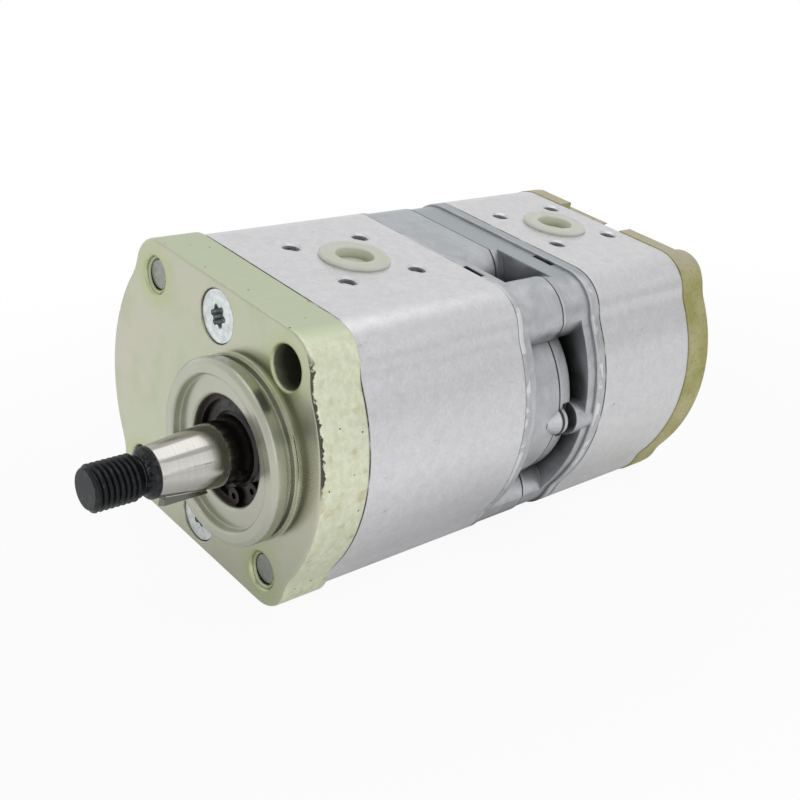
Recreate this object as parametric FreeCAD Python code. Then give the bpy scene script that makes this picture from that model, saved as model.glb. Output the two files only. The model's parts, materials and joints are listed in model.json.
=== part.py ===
import FreeCAD, Part
import math
import os
from FreeCAD import Vector

# Tandem external gear pump: two pump stages on one shaft line, every piece its own solid.
# Millimetres, +Z up. The origin is the centre of the pilot on the mounting face.
# The shaft points along -Y, the outlet ports open along +Z and the inlet ports along -Z.

# Housing outline, seen along the shaft
shaft_offset = 15.5             # drive shaft to the middle of the housing
bolt_square = 60.0              # side of the square of corner holes
corner_radius = 10.0            # flange's corner lobes round the corner holes
body_corner_radius = 12.8       # corners of the bodies, castings and cover
side_inset = 3.2                # bulging sides inside a circle round the corner lobes
corner_blend = 15.0             # hollow between a corner lobe and a side

# Thickness of each housing piece along the shaft
flange_thickness = 15.2
front_body_length = 57.2
front_casting_length = 19.4
rear_casting_length = 15.6
rear_body_length = 41.6
cover_rim_thickness = 5.5
cover_side_height = 5.0         # full-width sides above the rim
cover_dome_height = 9.5         # the same for the whole dome
cover_pad_height = 3.0          # the same for the pads at the tie bolts

# Mounting pilot and shaft seal
pilot_radius = 25.0
pilot_height = 7.5
pilot_chamfer = 1.2
pilot_groove_radius = 23.2
pilot_groove_start = 1.1
pilot_groove_width = 2.2
pilot_recess_radius = 20.7
pilot_recess_depth = 2.5
seal_radius = 15.0
seal_width = 7.0
seal_depth = 3.4                # pilot recess floor to the seal
seal_back_bore = 11.0
lip_stand = 0.6                 # dust lip in front of the seal
lip_gap = 0.12                  # lips to the shaft
seal_wall = 1.6                 # outer case of a seal
seal_floor = 2.4                # closed front part of a seal
dust_lip_height = 0.8
dust_lip_edge = 0.2             # seal's front face to the lip's edge
main_lip_height = 1.0
main_lip_back = 1.2             # end of the main lip to the seal's back
lip_valley = 1.4                # hollow between the two lips
recess_break = 0.5              # mouth of the pilot recess
bore_break = 0.6                # mouth of the seal bore
ring_thickness = 1.2
ring_groove_depth = 0.9
ring_width = 2.4
ring_gap_angle = -53.0          # middle of the gap between the ears
ring_gap_half = 21.0
ring_ear_radius = 2.3
ring_ear_hole = 0.9
ring_ear_inset = 0.9            # middle of an ear inside the ring's inner edge

# Drive shaft end
shaft_radius = 8.5
taper_start = 9.0               # mounting face to the large end of the taper
taper_length = 18.0
taper_ratio = 5.0               # 1:5 on the diameter
collar_length = 1.6
neck_length = 2.0
neck_radius = 5.0
thread_radius = 6.0
thread_length = 13.5
thread_chamfer = 1.0
thread_runout = 0.8
neck_shoulder = 0.4
collar_bevel = 0.7
key_width = 3.0
key_disc_radius = 6.5
key_height = 5.0
key_stand = 1.4                 # height of the key above the taper
key_place = 10.25               # large end of the taper to the middle of the key
key_angle = 150.0               # turned from +Z about the shaft

# Gears
centre_distance = 34.0
tooth_count = 12
pressure_angle = 20.0
addendum = 2.3
root_clearance = 0.35
backlash = 0.2
tip_clearance = 0.2
front_gear_width = 20.0
rear_gear_width = 8.0
block_gap = 0.05                # axial play of a gear beside its block
block_fit = 0.05                # radial play of a block in its chamber
bush_wall = 1.5
bush_fit = 0.04                 # radial play of a journal in its bush
journal_play = 0.6              # journal ends to the housing face
journal_chamfer = 0.8

# Seals round the gear chambers and on the bearing blocks
case_seal_gap = 1.4             # chamber wall to the seal groove
case_seal_width = 2.2
case_seal_height = 1.6
axial_seal_inset = 2.0
axial_seal_width = 2.4
axial_seal_height = 2.0
seal_fit = 0.1
relief_radius = 2.2
relief_depth = 1.2

# Ports and plugs
port_shift = 1.8                # ports behind the middle of each body
outlet_radius = 7.5
outlet_square = 25.0            # side of the square of M6 holes
inlet_radius = 10.0
inlet_depth = 12.0              # wide mouth of an inlet, before its narrower throat
inlet_throat_radius = 8.0
inlet_square = 28.3
port_screw_radius = 2.5
port_screw_depth = 13.0
port_screw_chamfer = 0.6
plug_flange_radius = 10.2
plug_flange_height = 1.1
plug_stem_length = 9.0
plug_wall = 1.7
plug_fit = 0.3
plug_hollow_depth = 2.0         # body face to the floor of the plug
plug_floor = 1.6
plug_rib_height = 0.2
plug_rib_width = 0.8
plug_rib_spacing = 3.0
plug_mouth_break = 0.3
plug_rim_break = 0.5
plug_lead = 0.6                 # chamfer at the foot of the stem

# Fasteners
tie_bolt_radius = 5.0
tie_head_radius = 7.5
tie_head_height = 8.5
tie_socket_radius = 4.0
tie_bolt_recess = 1.6           # bolt end below the outer face
tie_hole_break = 0.7            # mouth of a tie bolt's hole
cap_chamfer = 0.6               # edge of a cylindrical head
bolt_end_chamfer = 1.0
socket_share = 0.5              # socket depth in the height of a cylindrical head
mount_hole_radius = 5.75
screw_radius = 4.0
screw_head_radius = 7.1
screw_head_recess = 0.5
screw_head_rim = 0.6            # straight edge of a countersunk head
screw_head_fit = 0.35           # radial play of the head in its seat
screw_end_chamfer = 0.8
screw_height = 30.6             # middle screws above and below the shaft
cover_screw_height = 28.5       # the same for the cover's screws
screw_bite = 11.0               # flange screw length inside the body
cover_screw_bite = 6.5          # the same for a cover screw, clear of the rear ports
screw_hole_run = 1.5            # blind hole past a screw's end
torx_radius = 2.45
torx_lobe_radius = 0.85
torx_depth = 2.6
joint_screw_radius = 4.0
joint_head_radius = 6.5
joint_head_height = 8.0
joint_socket_radius = 3.2
joint_bite = 9.0
dowel_radius = 2.5
dowel_length = 8.0
dowel_chamfer = 0.4
dowel_reach = 43.5              # from the middle of the housing
split_dowel_reach = 40.0        # the same, between the two castings
dowel_lift = 14.0               # height of the left dowels
fastener_fit = 0.05
edge_round = 1.0
edge_break = 0.4
joint_break = 0.3               # outer edges at the joints

# Cast pieces between the two bodies
casting_rim = 2.1               # full outline beside the front body
casting_plate = 5.2             # rim and step together
step_round = 0.8
core_inset = 0.7                # cast core wall inside the left bulging side
middle_boss_radius = 12.0
front_scale = 0.4               # front casting's step and masses inside the outline
rear_scale = 0.8                # the same for the rear casting
hub_radius = 22.0               # wall round the coupling, between the columns
pocket_floor = 21.0
pocket_back_wall = 12.2         # top pocket to the rear body
lip_length = 4.7                # core wall that goes on into the rear casting
rear_plate = 3.8
rear_backing = 3.4
neck_core_radius = 20.5
coupling_wall = 1.0             # front body to the coupling's bore
shaft_clearance = 1.0           # round the shaft where it passes a casting
dowel_boss_radius = 5.5         # beside the rear body
dowel_knob_radius = 4.6         # beside the front casting
dowel_boss_slot = 3.0
notch_left = 0.8                # left of the drive shaft
notch_width = 7.6
notch_depth = 2.4
notch_length = 1.6

# Coupling between the stages
coupling_radius = 13.0
tang_thickness = 8.0
tang_length = 6.5
tang_fit = 0.15
coupling_gap = 0.4
stage_seal_back = 5.0           # stage seal to the rear body

# Rear cover
cover_overhang = 0.2            # outside the body's outline, all round
cover_dome_inset = 7.0
cover_flat_inset = 4.0          # dome's flats below the rim
cover_pad_radius = 9.2
cover_waist_left = 15.5         # from the middle of the housing
cover_waist_right = 10.5
cover_waist_depth = 1.6
cover_notch_left = 4.5
cover_notch_depth = 2.7
spot_face_radius = 9.0
screw_spot_radius = 8.5

# Modelling allowances
beyond = 1.0                    # how far a cut runs past a face
near = 0.01                     # edges this close to a plane lie in it

# Places that follow from the sizes above
half_square = bolt_square / 2
half_height = half_square + corner_radius
half_diagonal = math.hypot(half_square, half_square)
side_radius = half_diagonal + corner_radius - side_inset
core_radius = side_radius + shaft_offset - centre_distance - core_inset
front_body_start = flange_thickness
front_body_end = front_body_start + front_body_length
split_plane = front_body_end + front_casting_length
rear_body_start = split_plane + rear_casting_length
rear_body_end = rear_body_start + rear_body_length
cover_rim_end = rear_body_end + cover_rim_thickness
cover_pad_end = cover_rim_end + cover_pad_height
cover_side_end = cover_rim_end + cover_side_height
cover_end = cover_rim_end + cover_dome_height
joint_planes = (front_body_start, front_body_end, split_plane, rear_body_start, rear_body_end)
tie_corners = ((-half_square, half_square), (half_square, -half_square))
mount_corners = ((half_square, half_square), (-half_square, -half_square))
all_corners = tie_corners + mount_corners
pitch_radius = centre_distance / 2
tip_radius = pitch_radius + addendum
chamber_radius = tip_radius + tip_clearance
bush_radius = shaft_radius + bush_fit + bush_wall
case_seal_radius = chamber_radius + case_seal_gap
port_offset = centre_distance / 2
front_port_place = front_body_start + front_body_length / 2 + port_shift
rear_port_place = rear_body_start + rear_body_length / 2 + port_shift
front_gear_start = front_port_place - front_gear_width / 2
front_gear_end = front_gear_start + front_gear_width
rear_gear_start = rear_port_place - rear_gear_width / 2
rear_gear_end = rear_gear_start + rear_gear_width
seal_front = -pilot_height + pilot_recess_depth + seal_depth
ring_front = seal_front - ring_thickness - 2 * seal_fit
taper_small_radius = shaft_radius - taper_length / (2 * taper_ratio)
taper_end = -taper_start - taper_length
collar_end = taper_end - collar_length
neck_end = collar_end - neck_length
shaft_tip = neck_end - thread_length
stage_seal_start = rear_body_start - stage_seal_back - seal_width
coupling_bore = seal_radius     # the coupling and the stage seal share one bore
coupling_start = front_body_end + journal_play + coupling_gap
coupling_end = stage_seal_start - lip_stand - coupling_gap


# Basic solids

def rod(radius, start, length, x=0.0, z=0.0):
    """Round bar along the shaft direction."""
    return Part.makeCylinder(radius, length, Vector(x, start, z), Vector(0, 1, 0))


def post(radius, bottom, height, x, y):
    """Upright round bar."""
    return Part.makeCylinder(radius, height, Vector(x, y, bottom))


def block(x, y, z):
    """Box between three pairs of limits."""
    size = [high - low for low, high in (x, y, z)]
    return Part.makeBox(size[0], size[1], size[2], Vector(x[0], y[0], z[0]))


def turned(profile, x=0.0, z=0.0):
    """Solid of revolution about the shaft direction, from points of radius and place."""
    points = [Vector(x + radius, place, z) for radius, place in profile]
    face = Part.Face(Part.makePolygon(points + points[:1]))
    return face.revolve(Vector(x, 0, z), Vector(0, 1, 0), 360)


def prism(wire, length):
    """Solid that stands on a closed outline and runs back along the shaft."""
    return Part.Face(wire).extrude(Vector(0, length, 0))


def joined(shapes):
    """One solid from touching or overlapping ones, without the seams between them."""
    return shapes[0].fuse(shapes[1:]).removeSplitter()


# Outlines in the plane across the shaft

def arc(centre, radius, first, last, place):
    """Arc between two angles in degrees, counted from +X towards +Z."""
    def point(angle):
        turn = math.radians(angle)
        return Vector(centre[0] + radius * math.cos(turn), place, centre[1] + radius * math.sin(turn))
    return Part.Arc(point(first), point((first + last) / 2), point(last)).toShape()


def outline(place, grow=0.0, corner=body_corner_radius):
    """Housing outline: two bulging sides, flat top and bottom, four round corners."""
    side = side_radius + grow
    lobe = corner + grow
    blend = corner_blend - grow
    reach = half_height - corner
    diagonal = math.hypot(reach, reach)
    along = (side + blend)**2 - (lobe + blend)**2 + diagonal**2
    along /= 2 * diagonal
    turn_side = 45 - math.degrees(math.acos(along / (side + blend)))
    turn_lobe = 45 - math.degrees(math.acos((along - diagonal) / (lobe + blend)))
    blend_x = (side + blend) * math.cos(math.radians(turn_side)) - shaft_offset
    blend_z = (side + blend) * math.sin(math.radians(turn_side))
    lobe_x = reach - shaft_offset
    edges = [
        arc((-shaft_offset, 0), side, -turn_side, turn_side, place),
        arc((blend_x, blend_z), blend, 180 + turn_side, 180 + turn_lobe, place),
        arc((lobe_x, reach), lobe, turn_lobe, 90, place),
        Part.makeLine(
            Vector(lobe_x, place, reach + lobe),
            Vector(-reach - shaft_offset, place, reach + lobe),
        ),
        arc((lobe_x, -reach), lobe, -90, -turn_lobe, place),
        arc((blend_x, -blend_z), blend, 180 - turn_lobe, 180 - turn_side, place),
    ]
    middle = Vector(-shaft_offset, 0, 0)
    other_half = [edge.copy() for edge in edges]
    for edge in other_half:
        edge.rotate(middle, Vector(0, 1, 0), 180)
    return Part.Wire(Part.__sortEdges__(edges + other_half))


def slab(place, length, grow=0.0):
    """Slab of the housing outline with broken edges at both ends."""
    shape = prism(outline(place, grow), length)
    ends = [edge for edge in shape.Edges if edge.BoundBox.YLength < near]
    return shape.makeChamfer(joint_break, ends)


def stadium(radius, place):
    """Oval round both gear axes."""
    far = -centre_distance
    return Part.Wire([
        arc((0, 0), radius, -90, 90, place),
        Part.makeLine(Vector(0, place, radius), Vector(far, place, radius)),
        arc((far, 0), radius, 90, 270, place),
        Part.makeLine(Vector(far, place, -radius), Vector(0, place, -radius)),
    ])


def stadium_band(inner, outer, start, length):
    """Oval ring between two distances from the gear axes."""
    return prism(stadium(outer, start), length).cut(prism(stadium(inner, start), length))


def twin_rods(radius, start, length):
    """Figure of eight round both gear axes."""
    return joined([rod(radius, start, length), rod(radius, start, length, -centre_distance)])


# Gears and shafts

def tooth_half_angle(radius):
    """Half of a tooth's angle at a radius, on the involute above the base circle."""
    def involute(angle):
        return math.tan(angle) - angle
    pressure = math.radians(pressure_angle)
    base = pitch_radius * math.cos(pressure)
    here = math.acos(min(1.0, base / radius))
    at_pitch = math.pi / (2 * tooth_count) - backlash / (4 * pitch_radius)
    return math.degrees(at_pitch + involute(pressure) - involute(here))


def gear_blank(start, width, x, phase):
    """Spur gear with involute flanks and straight roots."""
    base = pitch_radius * math.cos(math.radians(pressure_angle))
    root = centre_distance - tip_radius - root_clearance
    flank_radii = [base + (tip_radius - base) * share for share in (0.0, 0.3, 0.65, 1.0)]
    pitch = 360.0 / tooth_count

    def point(radius, angle):
        turn = math.radians(angle)
        return Vector(x + radius * math.cos(turn), start, radius * math.sin(turn))

    def flank(middle, side):
        points = [point(radius, middle + side * tooth_half_angle(radius)) for radius in flank_radii]
        curve = Part.BSplineCurve()
        curve.interpolate(points)
        return curve.toShape()

    edges = []
    for number in range(tooth_count):
        middle = phase + number * pitch
        foot = tooth_half_angle(base)
        tip = tooth_half_angle(tip_radius)
        for side in (-1, 1):
            edges.append(Part.makeLine(point(root, middle + side * foot), point(base, middle + side * foot)))
            edges.append(flank(middle, side))
        edges.append(arc((x, 0), tip_radius, middle - tip, middle + tip, start))
        edges.append(arc((x, 0), root, middle + foot, middle + pitch - foot, start))
    return prism(Part.Wire(Part.__sortEdges__(edges)), width)


def tang(start, turned_upright):
    """Flat driving end of a shaft."""
    bar = rod(shaft_radius, start, tang_length)
    half = tang_thickness / 2
    wide = (-shaft_radius, shaft_radius)
    thin = (-half, half)
    along = (start, start + tang_length)
    return bar.common(block(thin, along, wide) if turned_upright else block(wide, along, thin))


def key_disc(width, radius):
    """Half-moon key blank standing above the shaft, before it is turned into place."""
    top = shaft_radius - key_place / (2 * taper_ratio) + key_stand
    centre = top - key_height + key_disc_radius
    place = -taper_start - key_place
    disc = Part.makeCylinder(radius, width, Vector(-width / 2, place, centre), Vector(1, 0, 0))
    below = block((-width, width), (place - radius, place + radius), (centre - radius, top))
    return disc.common(below)


def turned_to_key(shape):
    shape.rotate(Vector(0, 0, 0), Vector(0, 1, 0), key_angle)
    return shape


def drive_shaft():
    """Taper shaft with the front driving gear and the rear tang in one piece."""
    rear_end = front_body_end + journal_play
    spindle = turned([
        (0, shaft_tip),
        (thread_radius - thread_chamfer, shaft_tip),
        (thread_radius, shaft_tip + thread_chamfer),
        (thread_radius, neck_end - thread_runout),
        (neck_radius, neck_end),
        (neck_radius, collar_end - neck_shoulder),
        (taper_small_radius - collar_bevel, collar_end),
        (taper_small_radius, collar_end + collar_bevel),
        (taper_small_radius, taper_end),
        (shaft_radius, -taper_start),
        (shaft_radius, rear_end),
        (0, rear_end),
    ])
    gear = gear_blank(front_gear_start, front_gear_width, 0.0, 0.0)
    seat = turned_to_key(key_disc(key_width, key_disc_radius))
    return joined([spindle, gear, tang(rear_end, False)]).cut(seat)


def woodruff_key():
    return turned_to_key(key_disc(key_width, key_disc_radius))


def gear_shaft(gear_start, gear_width, start, end, x, phase):
    """Gear with its two journals, which have turned end chamfers."""
    journal = turned([
        (0, start),
        (shaft_radius - journal_chamfer, start),
        (shaft_radius, start + journal_chamfer),
        (shaft_radius, end - journal_chamfer),
        (shaft_radius - journal_chamfer, end),
        (0, end),
    ], x)
    return joined([journal, gear_blank(gear_start, gear_width, x, phase)])


def front_driven_gear():
    start = front_body_start + journal_play
    end = front_body_end - journal_play
    half_pitch = 180.0 / tooth_count
    return gear_shaft(front_gear_start, front_gear_width, start, end, -centre_distance, half_pitch)


def rear_driven_gear():
    start = rear_body_start + journal_play
    end = rear_body_end - journal_play
    half_pitch = 180.0 / tooth_count
    return gear_shaft(rear_gear_start, rear_gear_width, start, end, -centre_distance, half_pitch)


def rear_drive_gear():
    """Second driving gear, with a long nose and a tang that reach the coupling."""
    nose = coupling_end
    shaft = gear_shaft(rear_gear_start, rear_gear_width, nose, rear_body_end - journal_play, 0.0, 0.0)
    return joined([shaft, tang(nose - tang_length, True)])


def drive_coupling():
    """Round coupling with a slot across each end, one at right angles to the other."""
    half = tang_thickness / 2 + tang_fit
    depth = tang_length + tang_fit
    wide = (-coupling_radius, coupling_radius)
    thin = (-half, half)
    front_slot = block(wide, (coupling_start - beyond, coupling_start + depth - coupling_gap), thin)
    rear_slot = block(thin, (coupling_end - depth, coupling_end + beyond), wide)
    barrel = rod(coupling_radius, coupling_start, coupling_end - coupling_start)
    return barrel.cut([front_slot, rear_slot])


# Bearing blocks, bushes and seals

def axial_seal_band(start, height, fit):
    """Seal shaped like a 3, on the outlet side of the journals."""
    outer = chamber_radius - axial_seal_inset
    inner = outer - axial_seal_width
    ring = twin_rods(outer + fit, start, height).cut(twin_rods(inner - fit, start, height))
    left = -centre_distance - chamber_radius
    upper = block((left, chamber_radius), (start, start + height), (-fit, chamber_radius))
    return ring.common(upper)


def bearing_block(start, length, back_at_start):
    """Block that carries one end of both gears, with a seal groove and relief pockets."""
    shape = twin_rods(chamber_radius - block_fit, start, length)
    end = start + length
    groove_start = start if back_at_start else end - axial_seal_height
    relief_start = end - relief_depth if back_at_start else start
    cuts = [axial_seal_band(groove_start, axial_seal_height, seal_fit)]
    for x in (0.0, -centre_distance):
        cuts.append(rod(bush_radius, start, length, x))
    for side in (-1, 1):
        height = side * (shaft_radius - relief_radius)
        cuts.append(rod(relief_radius, relief_start, relief_depth, -pitch_radius, height))
    return shape.cut(cuts)


def bushes(spans):
    """Plain bearing bushes, one pair for each span along the shaft."""
    pieces = []
    for start, length in spans:
        for x in (0.0, -centre_distance):
            hole = rod(shaft_radius + bush_fit, start, length, x)
            pieces.append(rod(bush_radius, start, length, x).cut(hole))
    return Part.makeCompound(pieces)


def case_seal(start):
    return stadium_band(case_seal_radius, case_seal_radius + case_seal_width, start, case_seal_height)


def case_seal_groove(start):
    outer = case_seal_radius + case_seal_width + seal_fit
    return stadium_band(case_seal_radius - seal_fit, outer, start, case_seal_height)


def lip_seal(start):
    """Shaft seal: U-shaped ring with a main lip and a dust lip just clear of the shaft."""
    lip = shaft_radius + lip_gap
    end = start + seal_width
    return turned([
        (seal_radius, start),
        (lip + seal_wall, start),
        (lip + dust_lip_height, start - lip_stand),
        (lip, start + dust_lip_edge),
        (lip + lip_valley, start + lip_valley),
        (lip, start + seal_width / 2 + lip_stand),
        (lip + main_lip_height, end - main_lip_back),
        (lip + seal_floor, start + seal_floor),
        (seal_radius - seal_wall, start + seal_floor),
        (seal_radius - seal_wall, end),
        (seal_radius, end),
    ])


def seal_retaining_ring():
    """Internal circlip in the pilot, with two eared ends."""
    outer = seal_radius + ring_groove_depth - seal_fit
    inner = seal_radius - ring_width + ring_groove_depth
    ring = rod(outer, ring_front, ring_thickness).cut(rod(inner, ring_front, ring_thickness))
    reach = 2 * seal_radius
    first = math.radians(ring_gap_angle - ring_gap_half)
    last = math.radians(ring_gap_angle + ring_gap_half)
    wedge = Part.makePolygon([
        Vector(0, ring_front, 0),
        Vector(reach * math.cos(first), ring_front, reach * math.sin(first)),
        Vector(reach * math.cos(last), ring_front, reach * math.sin(last)),
        Vector(0, ring_front, 0),
    ])
    ring = ring.cut(prism(wedge, ring_thickness))
    ear_reach = inner - ring_ear_inset
    places = [(ear_reach * math.cos(angle), ear_reach * math.sin(angle)) for angle in (first, last)]
    ears = [rod(ring_ear_radius, ring_front, ring_thickness, x, z) for x, z in places]
    holes = [rod(ring_ear_hole, ring_front, ring_thickness, x, z) for x, z in places]
    return joined([ring] + ears).cut(holes)


# Holes and fasteners

def corner_rods(corners, radius, start, length):
    return [rod(radius, start, length, x - shaft_offset, z) for x, z in corners]


def dowel_places(plane):
    """Two dowels for each joint: one level with the shaft, one higher on the far side."""
    reach = split_dowel_reach if plane == split_plane else dowel_reach
    far = math.sqrt(reach**2 - dowel_lift**2)
    return [(reach - shaft_offset, 0.0), (-far - shaft_offset, dowel_lift)]


def dowel_holes(plane):
    radius = dowel_radius + fastener_fit
    start = plane - dowel_length / 2
    return [rod(radius, start, dowel_length, x, z) for x, z in dowel_places(plane)]


def mount_holes(start, length):
    return corner_rods(mount_corners, mount_hole_radius, start, length)


def countersink(face, inward, wide, narrow, x, z):
    """Conical mouth of a hole in a face across the shaft; inward is 1 or -1."""
    depth = (wide - narrow) * inward
    return turned([(0, face), (wide, face), (narrow, face + depth), (0, face + depth)], x, z)


def screw_seat(face, inward, length, z):
    """Seat of a middle screw: a short straight mouth, a cone and the clearance hole."""
    x = -shaft_offset
    wide = screw_head_radius + screw_head_fit
    narrow = screw_radius + fastener_fit
    mouth = face + inward * (screw_head_recess + screw_head_rim)
    low, high = sorted((face, face + inward * length))
    rim = rod(wide, min(face, mouth), abs(mouth - face), x, z)
    return [rim, countersink(mouth, inward, wide, narrow, x, z), rod(narrow, low, high - low, x, z)]


def countersunk_screw(face, inward, length, z):
    """Countersunk screw with a six-lobed socket, head just below the face."""
    x = -shaft_offset
    top = face + inward * screw_head_recess
    rim = top + inward * screw_head_rim
    neck = rim + inward * (screw_head_radius - screw_radius)
    end = face + inward * length
    body = turned([
        (0, top),
        (screw_head_radius, top),
        (screw_head_radius, rim),
        (screw_radius, neck),
        (screw_radius, end - inward * screw_end_chamfer),
        (screw_radius - screw_end_chamfer, end),
        (0, end),
    ], x, z)
    socket_start = min(top, top + inward * torx_depth)
    lobes = [rod(torx_radius, socket_start, torx_depth, x, z)]
    for number in range(6):
        angle = math.radians(60 * number)
        lobe_x = x + torx_radius * math.cos(angle)
        lobe_z = z + torx_radius * math.sin(angle)
        lobes.append(rod(torx_lobe_radius, socket_start, torx_depth, lobe_x, lobe_z))
    return body.cut(joined(lobes))


def middle_screws(face, inward, length, height):
    screws = [countersunk_screw(face, inward, length, z) for z in (-height, height)]
    return Part.makeCompound(screws)


def socket_screw(head_face, inward, length, radii, head_height, x, z):
    """Socket head screw: its head starts at head_face and it points inward, 1 or -1."""
    radius, head_radius, socket_radius = radii
    under = head_face + inward * head_height
    end = under + inward * length
    body = turned([
        (0, head_face),
        (head_radius - cap_chamfer, head_face),
        (head_radius, head_face + inward * cap_chamfer),
        (head_radius, under),
        (radius, under),
        (radius, end - inward * bolt_end_chamfer),
        (radius - bolt_end_chamfer, end),
        (0, end),
    ], x, z)
    corners = []
    for number in range(7):
        angle = math.radians(60 * number)
        corner_x = x + socket_radius * math.cos(angle)
        corner_z = z + socket_radius * math.sin(angle)
        corners.append(Vector(corner_x, head_face, corner_z))
    depth = socket_share * head_height
    socket = Part.Face(Part.makePolygon(corners)).extrude(Vector(0, inward * depth, 0))
    return body.cut(socket)


def tie_bolts(head_face, inward, end_face):
    """Two long bolts in opposite corners, threaded into the outer piece."""
    length = abs(end_face - head_face) - tie_head_height - tie_bolt_recess
    radii = (tie_bolt_radius, tie_head_radius, tie_socket_radius)
    bolts = []
    for x, z in tie_corners:
        bolts.append(socket_screw(head_face, inward, length, radii, tie_head_height, x - shaft_offset, z))
    return Part.makeCompound(bolts)


def front_tie_bolts():
    return tie_bolts(split_plane - fastener_fit, -1, 0.0)


def rear_tie_bolts():
    return tie_bolts(split_plane + fastener_fit, 1, cover_pad_end)


def casting_screws():
    """Two screws that join the castings, heads sunk in the rear one."""
    head_face = rear_body_start - fastener_fit
    length = head_face - joint_head_height - split_plane + joint_bite
    radii = (joint_screw_radius, joint_head_radius, joint_socket_radius)
    screws = []
    for z in (-half_square, half_square):
        screws.append(socket_screw(head_face, -1, length, radii, joint_head_height, -shaft_offset, z))
    return Part.makeCompound(screws)


def dowel_pins():
    pins = []
    for plane in joint_planes:
        for x, z in dowel_places(plane):
            start = plane - dowel_length / 2
            end = plane + dowel_length / 2
            pins.append(turned([
                (0, start),
                (dowel_radius - dowel_chamfer, start),
                (dowel_radius, start + dowel_chamfer),
                (dowel_radius, end - dowel_chamfer),
                (dowel_radius - dowel_chamfer, end),
                (0, end),
            ], x, z))
    return Part.makeCompound(pins)


# Housing pieces

def front_flange():
    """Mounting flange with the pilot, the seal bore, and the corner and middle holes."""
    plate = prism(outline(0.0, 0.0, corner_radius), flange_thickness)
    rim = [edge for edge in plate.Edges if edge.BoundBox.YMax < near]
    plate = plate.makeFillet(edge_round, rim)
    back = [edge for edge in plate.Edges if edge.BoundBox.YMin > flange_thickness - near]
    plate = plate.makeChamfer(joint_break, back)
    groove_end = -pilot_groove_start - pilot_groove_width
    pilot = turned([
        (0, 0),
        (pilot_radius, 0),
        (pilot_radius, -pilot_groove_start),
        (pilot_groove_radius, -pilot_groove_start),
        (pilot_groove_radius, groove_end),
        (pilot_radius, groove_end),
        (pilot_radius, -pilot_height + pilot_chamfer),
        (pilot_radius - pilot_chamfer, -pilot_height),
        (0, -pilot_height),
    ])
    floor = -pilot_height + pilot_recess_depth
    seal_end = seal_front + seal_width
    bore = turned([
        (0, -pilot_height),
        (pilot_recess_radius + recess_break, -pilot_height),
        (pilot_recess_radius, -pilot_height + recess_break),
        (pilot_recess_radius, floor),
        (seal_radius + bore_break, floor),
        (seal_radius, floor + bore_break),
        (seal_radius, ring_front),
        (seal_radius + ring_groove_depth, ring_front),
        (seal_radius + ring_groove_depth, ring_front + ring_thickness + seal_fit),
        (seal_radius, ring_front + ring_thickness + seal_fit),
        (seal_radius, seal_end),
        (seal_back_bore, seal_end),
        (seal_back_bore, flange_thickness),
        (0, flange_thickness),
    ])
    cuts = [bore, case_seal_groove(flange_thickness - case_seal_height)]
    cuts += corner_rods(tie_corners, tie_bolt_radius + fastener_fit, 0.0, flange_thickness)
    cuts += mount_holes(0.0, flange_thickness)
    for x, z in tie_corners:
        mouth = tie_bolt_radius + tie_hole_break
        cuts.append(countersink(0.0, 1, mouth, tie_bolt_radius, x - shaft_offset, z))
    for x, z in mount_corners:
        wide = mount_hole_radius + edge_break
        cuts.append(countersink(0.0, 1, wide, mount_hole_radius, x - shaft_offset, z))
    for side in (-1, 1):
        cuts += screw_seat(0.0, 1, flange_thickness, side * screw_height)
    cuts += dowel_holes(front_body_start)
    return joined([plate, pilot]).cut(cuts)


def screw_holes(side, port_place, square):
    """Four blind screw holes round a port in the top or bottom face."""
    face = side * half_height
    cuts = []
    wide = port_screw_radius + port_screw_chamfer
    for dx in (-square / 2, square / 2):
        for dy in (-square / 2, square / 2):
            x = -port_offset + dx
            y = port_place + dy
            bottom, top = sorted((face - side * port_screw_depth, face))
            cuts.append(post(port_screw_radius, bottom, top - bottom, x, y))
            mouth = Part.makeCone(
                wide, port_screw_radius, port_screw_chamfer, Vector(x, y, face), Vector(0, 0, -side)
            )
            cuts.append(mouth)
    return cuts


def pump_body(start, length, port_place):
    """Extruded body: chamber for both gears, ports, corner holes and dowel holes."""
    cuts = [twin_rods(chamber_radius, start, length)]
    cuts.append(post(outlet_radius, 0.0, half_height, -port_offset, port_place))
    cuts.append(post(inlet_throat_radius, -half_height, half_height, -port_offset, port_place))
    cuts.append(post(inlet_radius, -half_height, inlet_depth, -port_offset, port_place))
    cuts += screw_holes(1, port_place, outlet_square)
    cuts += screw_holes(-1, port_place, inlet_square)
    cuts += corner_rods(tie_corners, tie_bolt_radius + fastener_fit, start, length)
    cuts += mount_holes(start, length)
    cuts += dowel_holes(start) + dowel_holes(start + length)
    return slab(start, length).cut(cuts)


def middle_screw_holes(start, depth, height):
    """Blind holes for the two middle screws of the flange or the cover."""
    radius = screw_radius + fastener_fit
    return [rod(radius, start, depth, -shaft_offset, z) for z in (-height, height)]


def front_pump_body():
    """Front body, with blind holes for the flange screws."""
    shape = pump_body(front_body_start, front_body_length, front_port_place)
    depth = screw_bite + screw_hole_run
    return shape.cut(middle_screw_holes(front_body_start, depth, screw_height))


def rear_pump_body():
    """Rear body, with blind holes for the cover screws."""
    shape = pump_body(rear_body_start, rear_body_length, rear_port_place)
    depth = cover_screw_bite + screw_hole_run
    return shape.cut(middle_screw_holes(rear_body_end - depth, depth, cover_screw_height))


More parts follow.
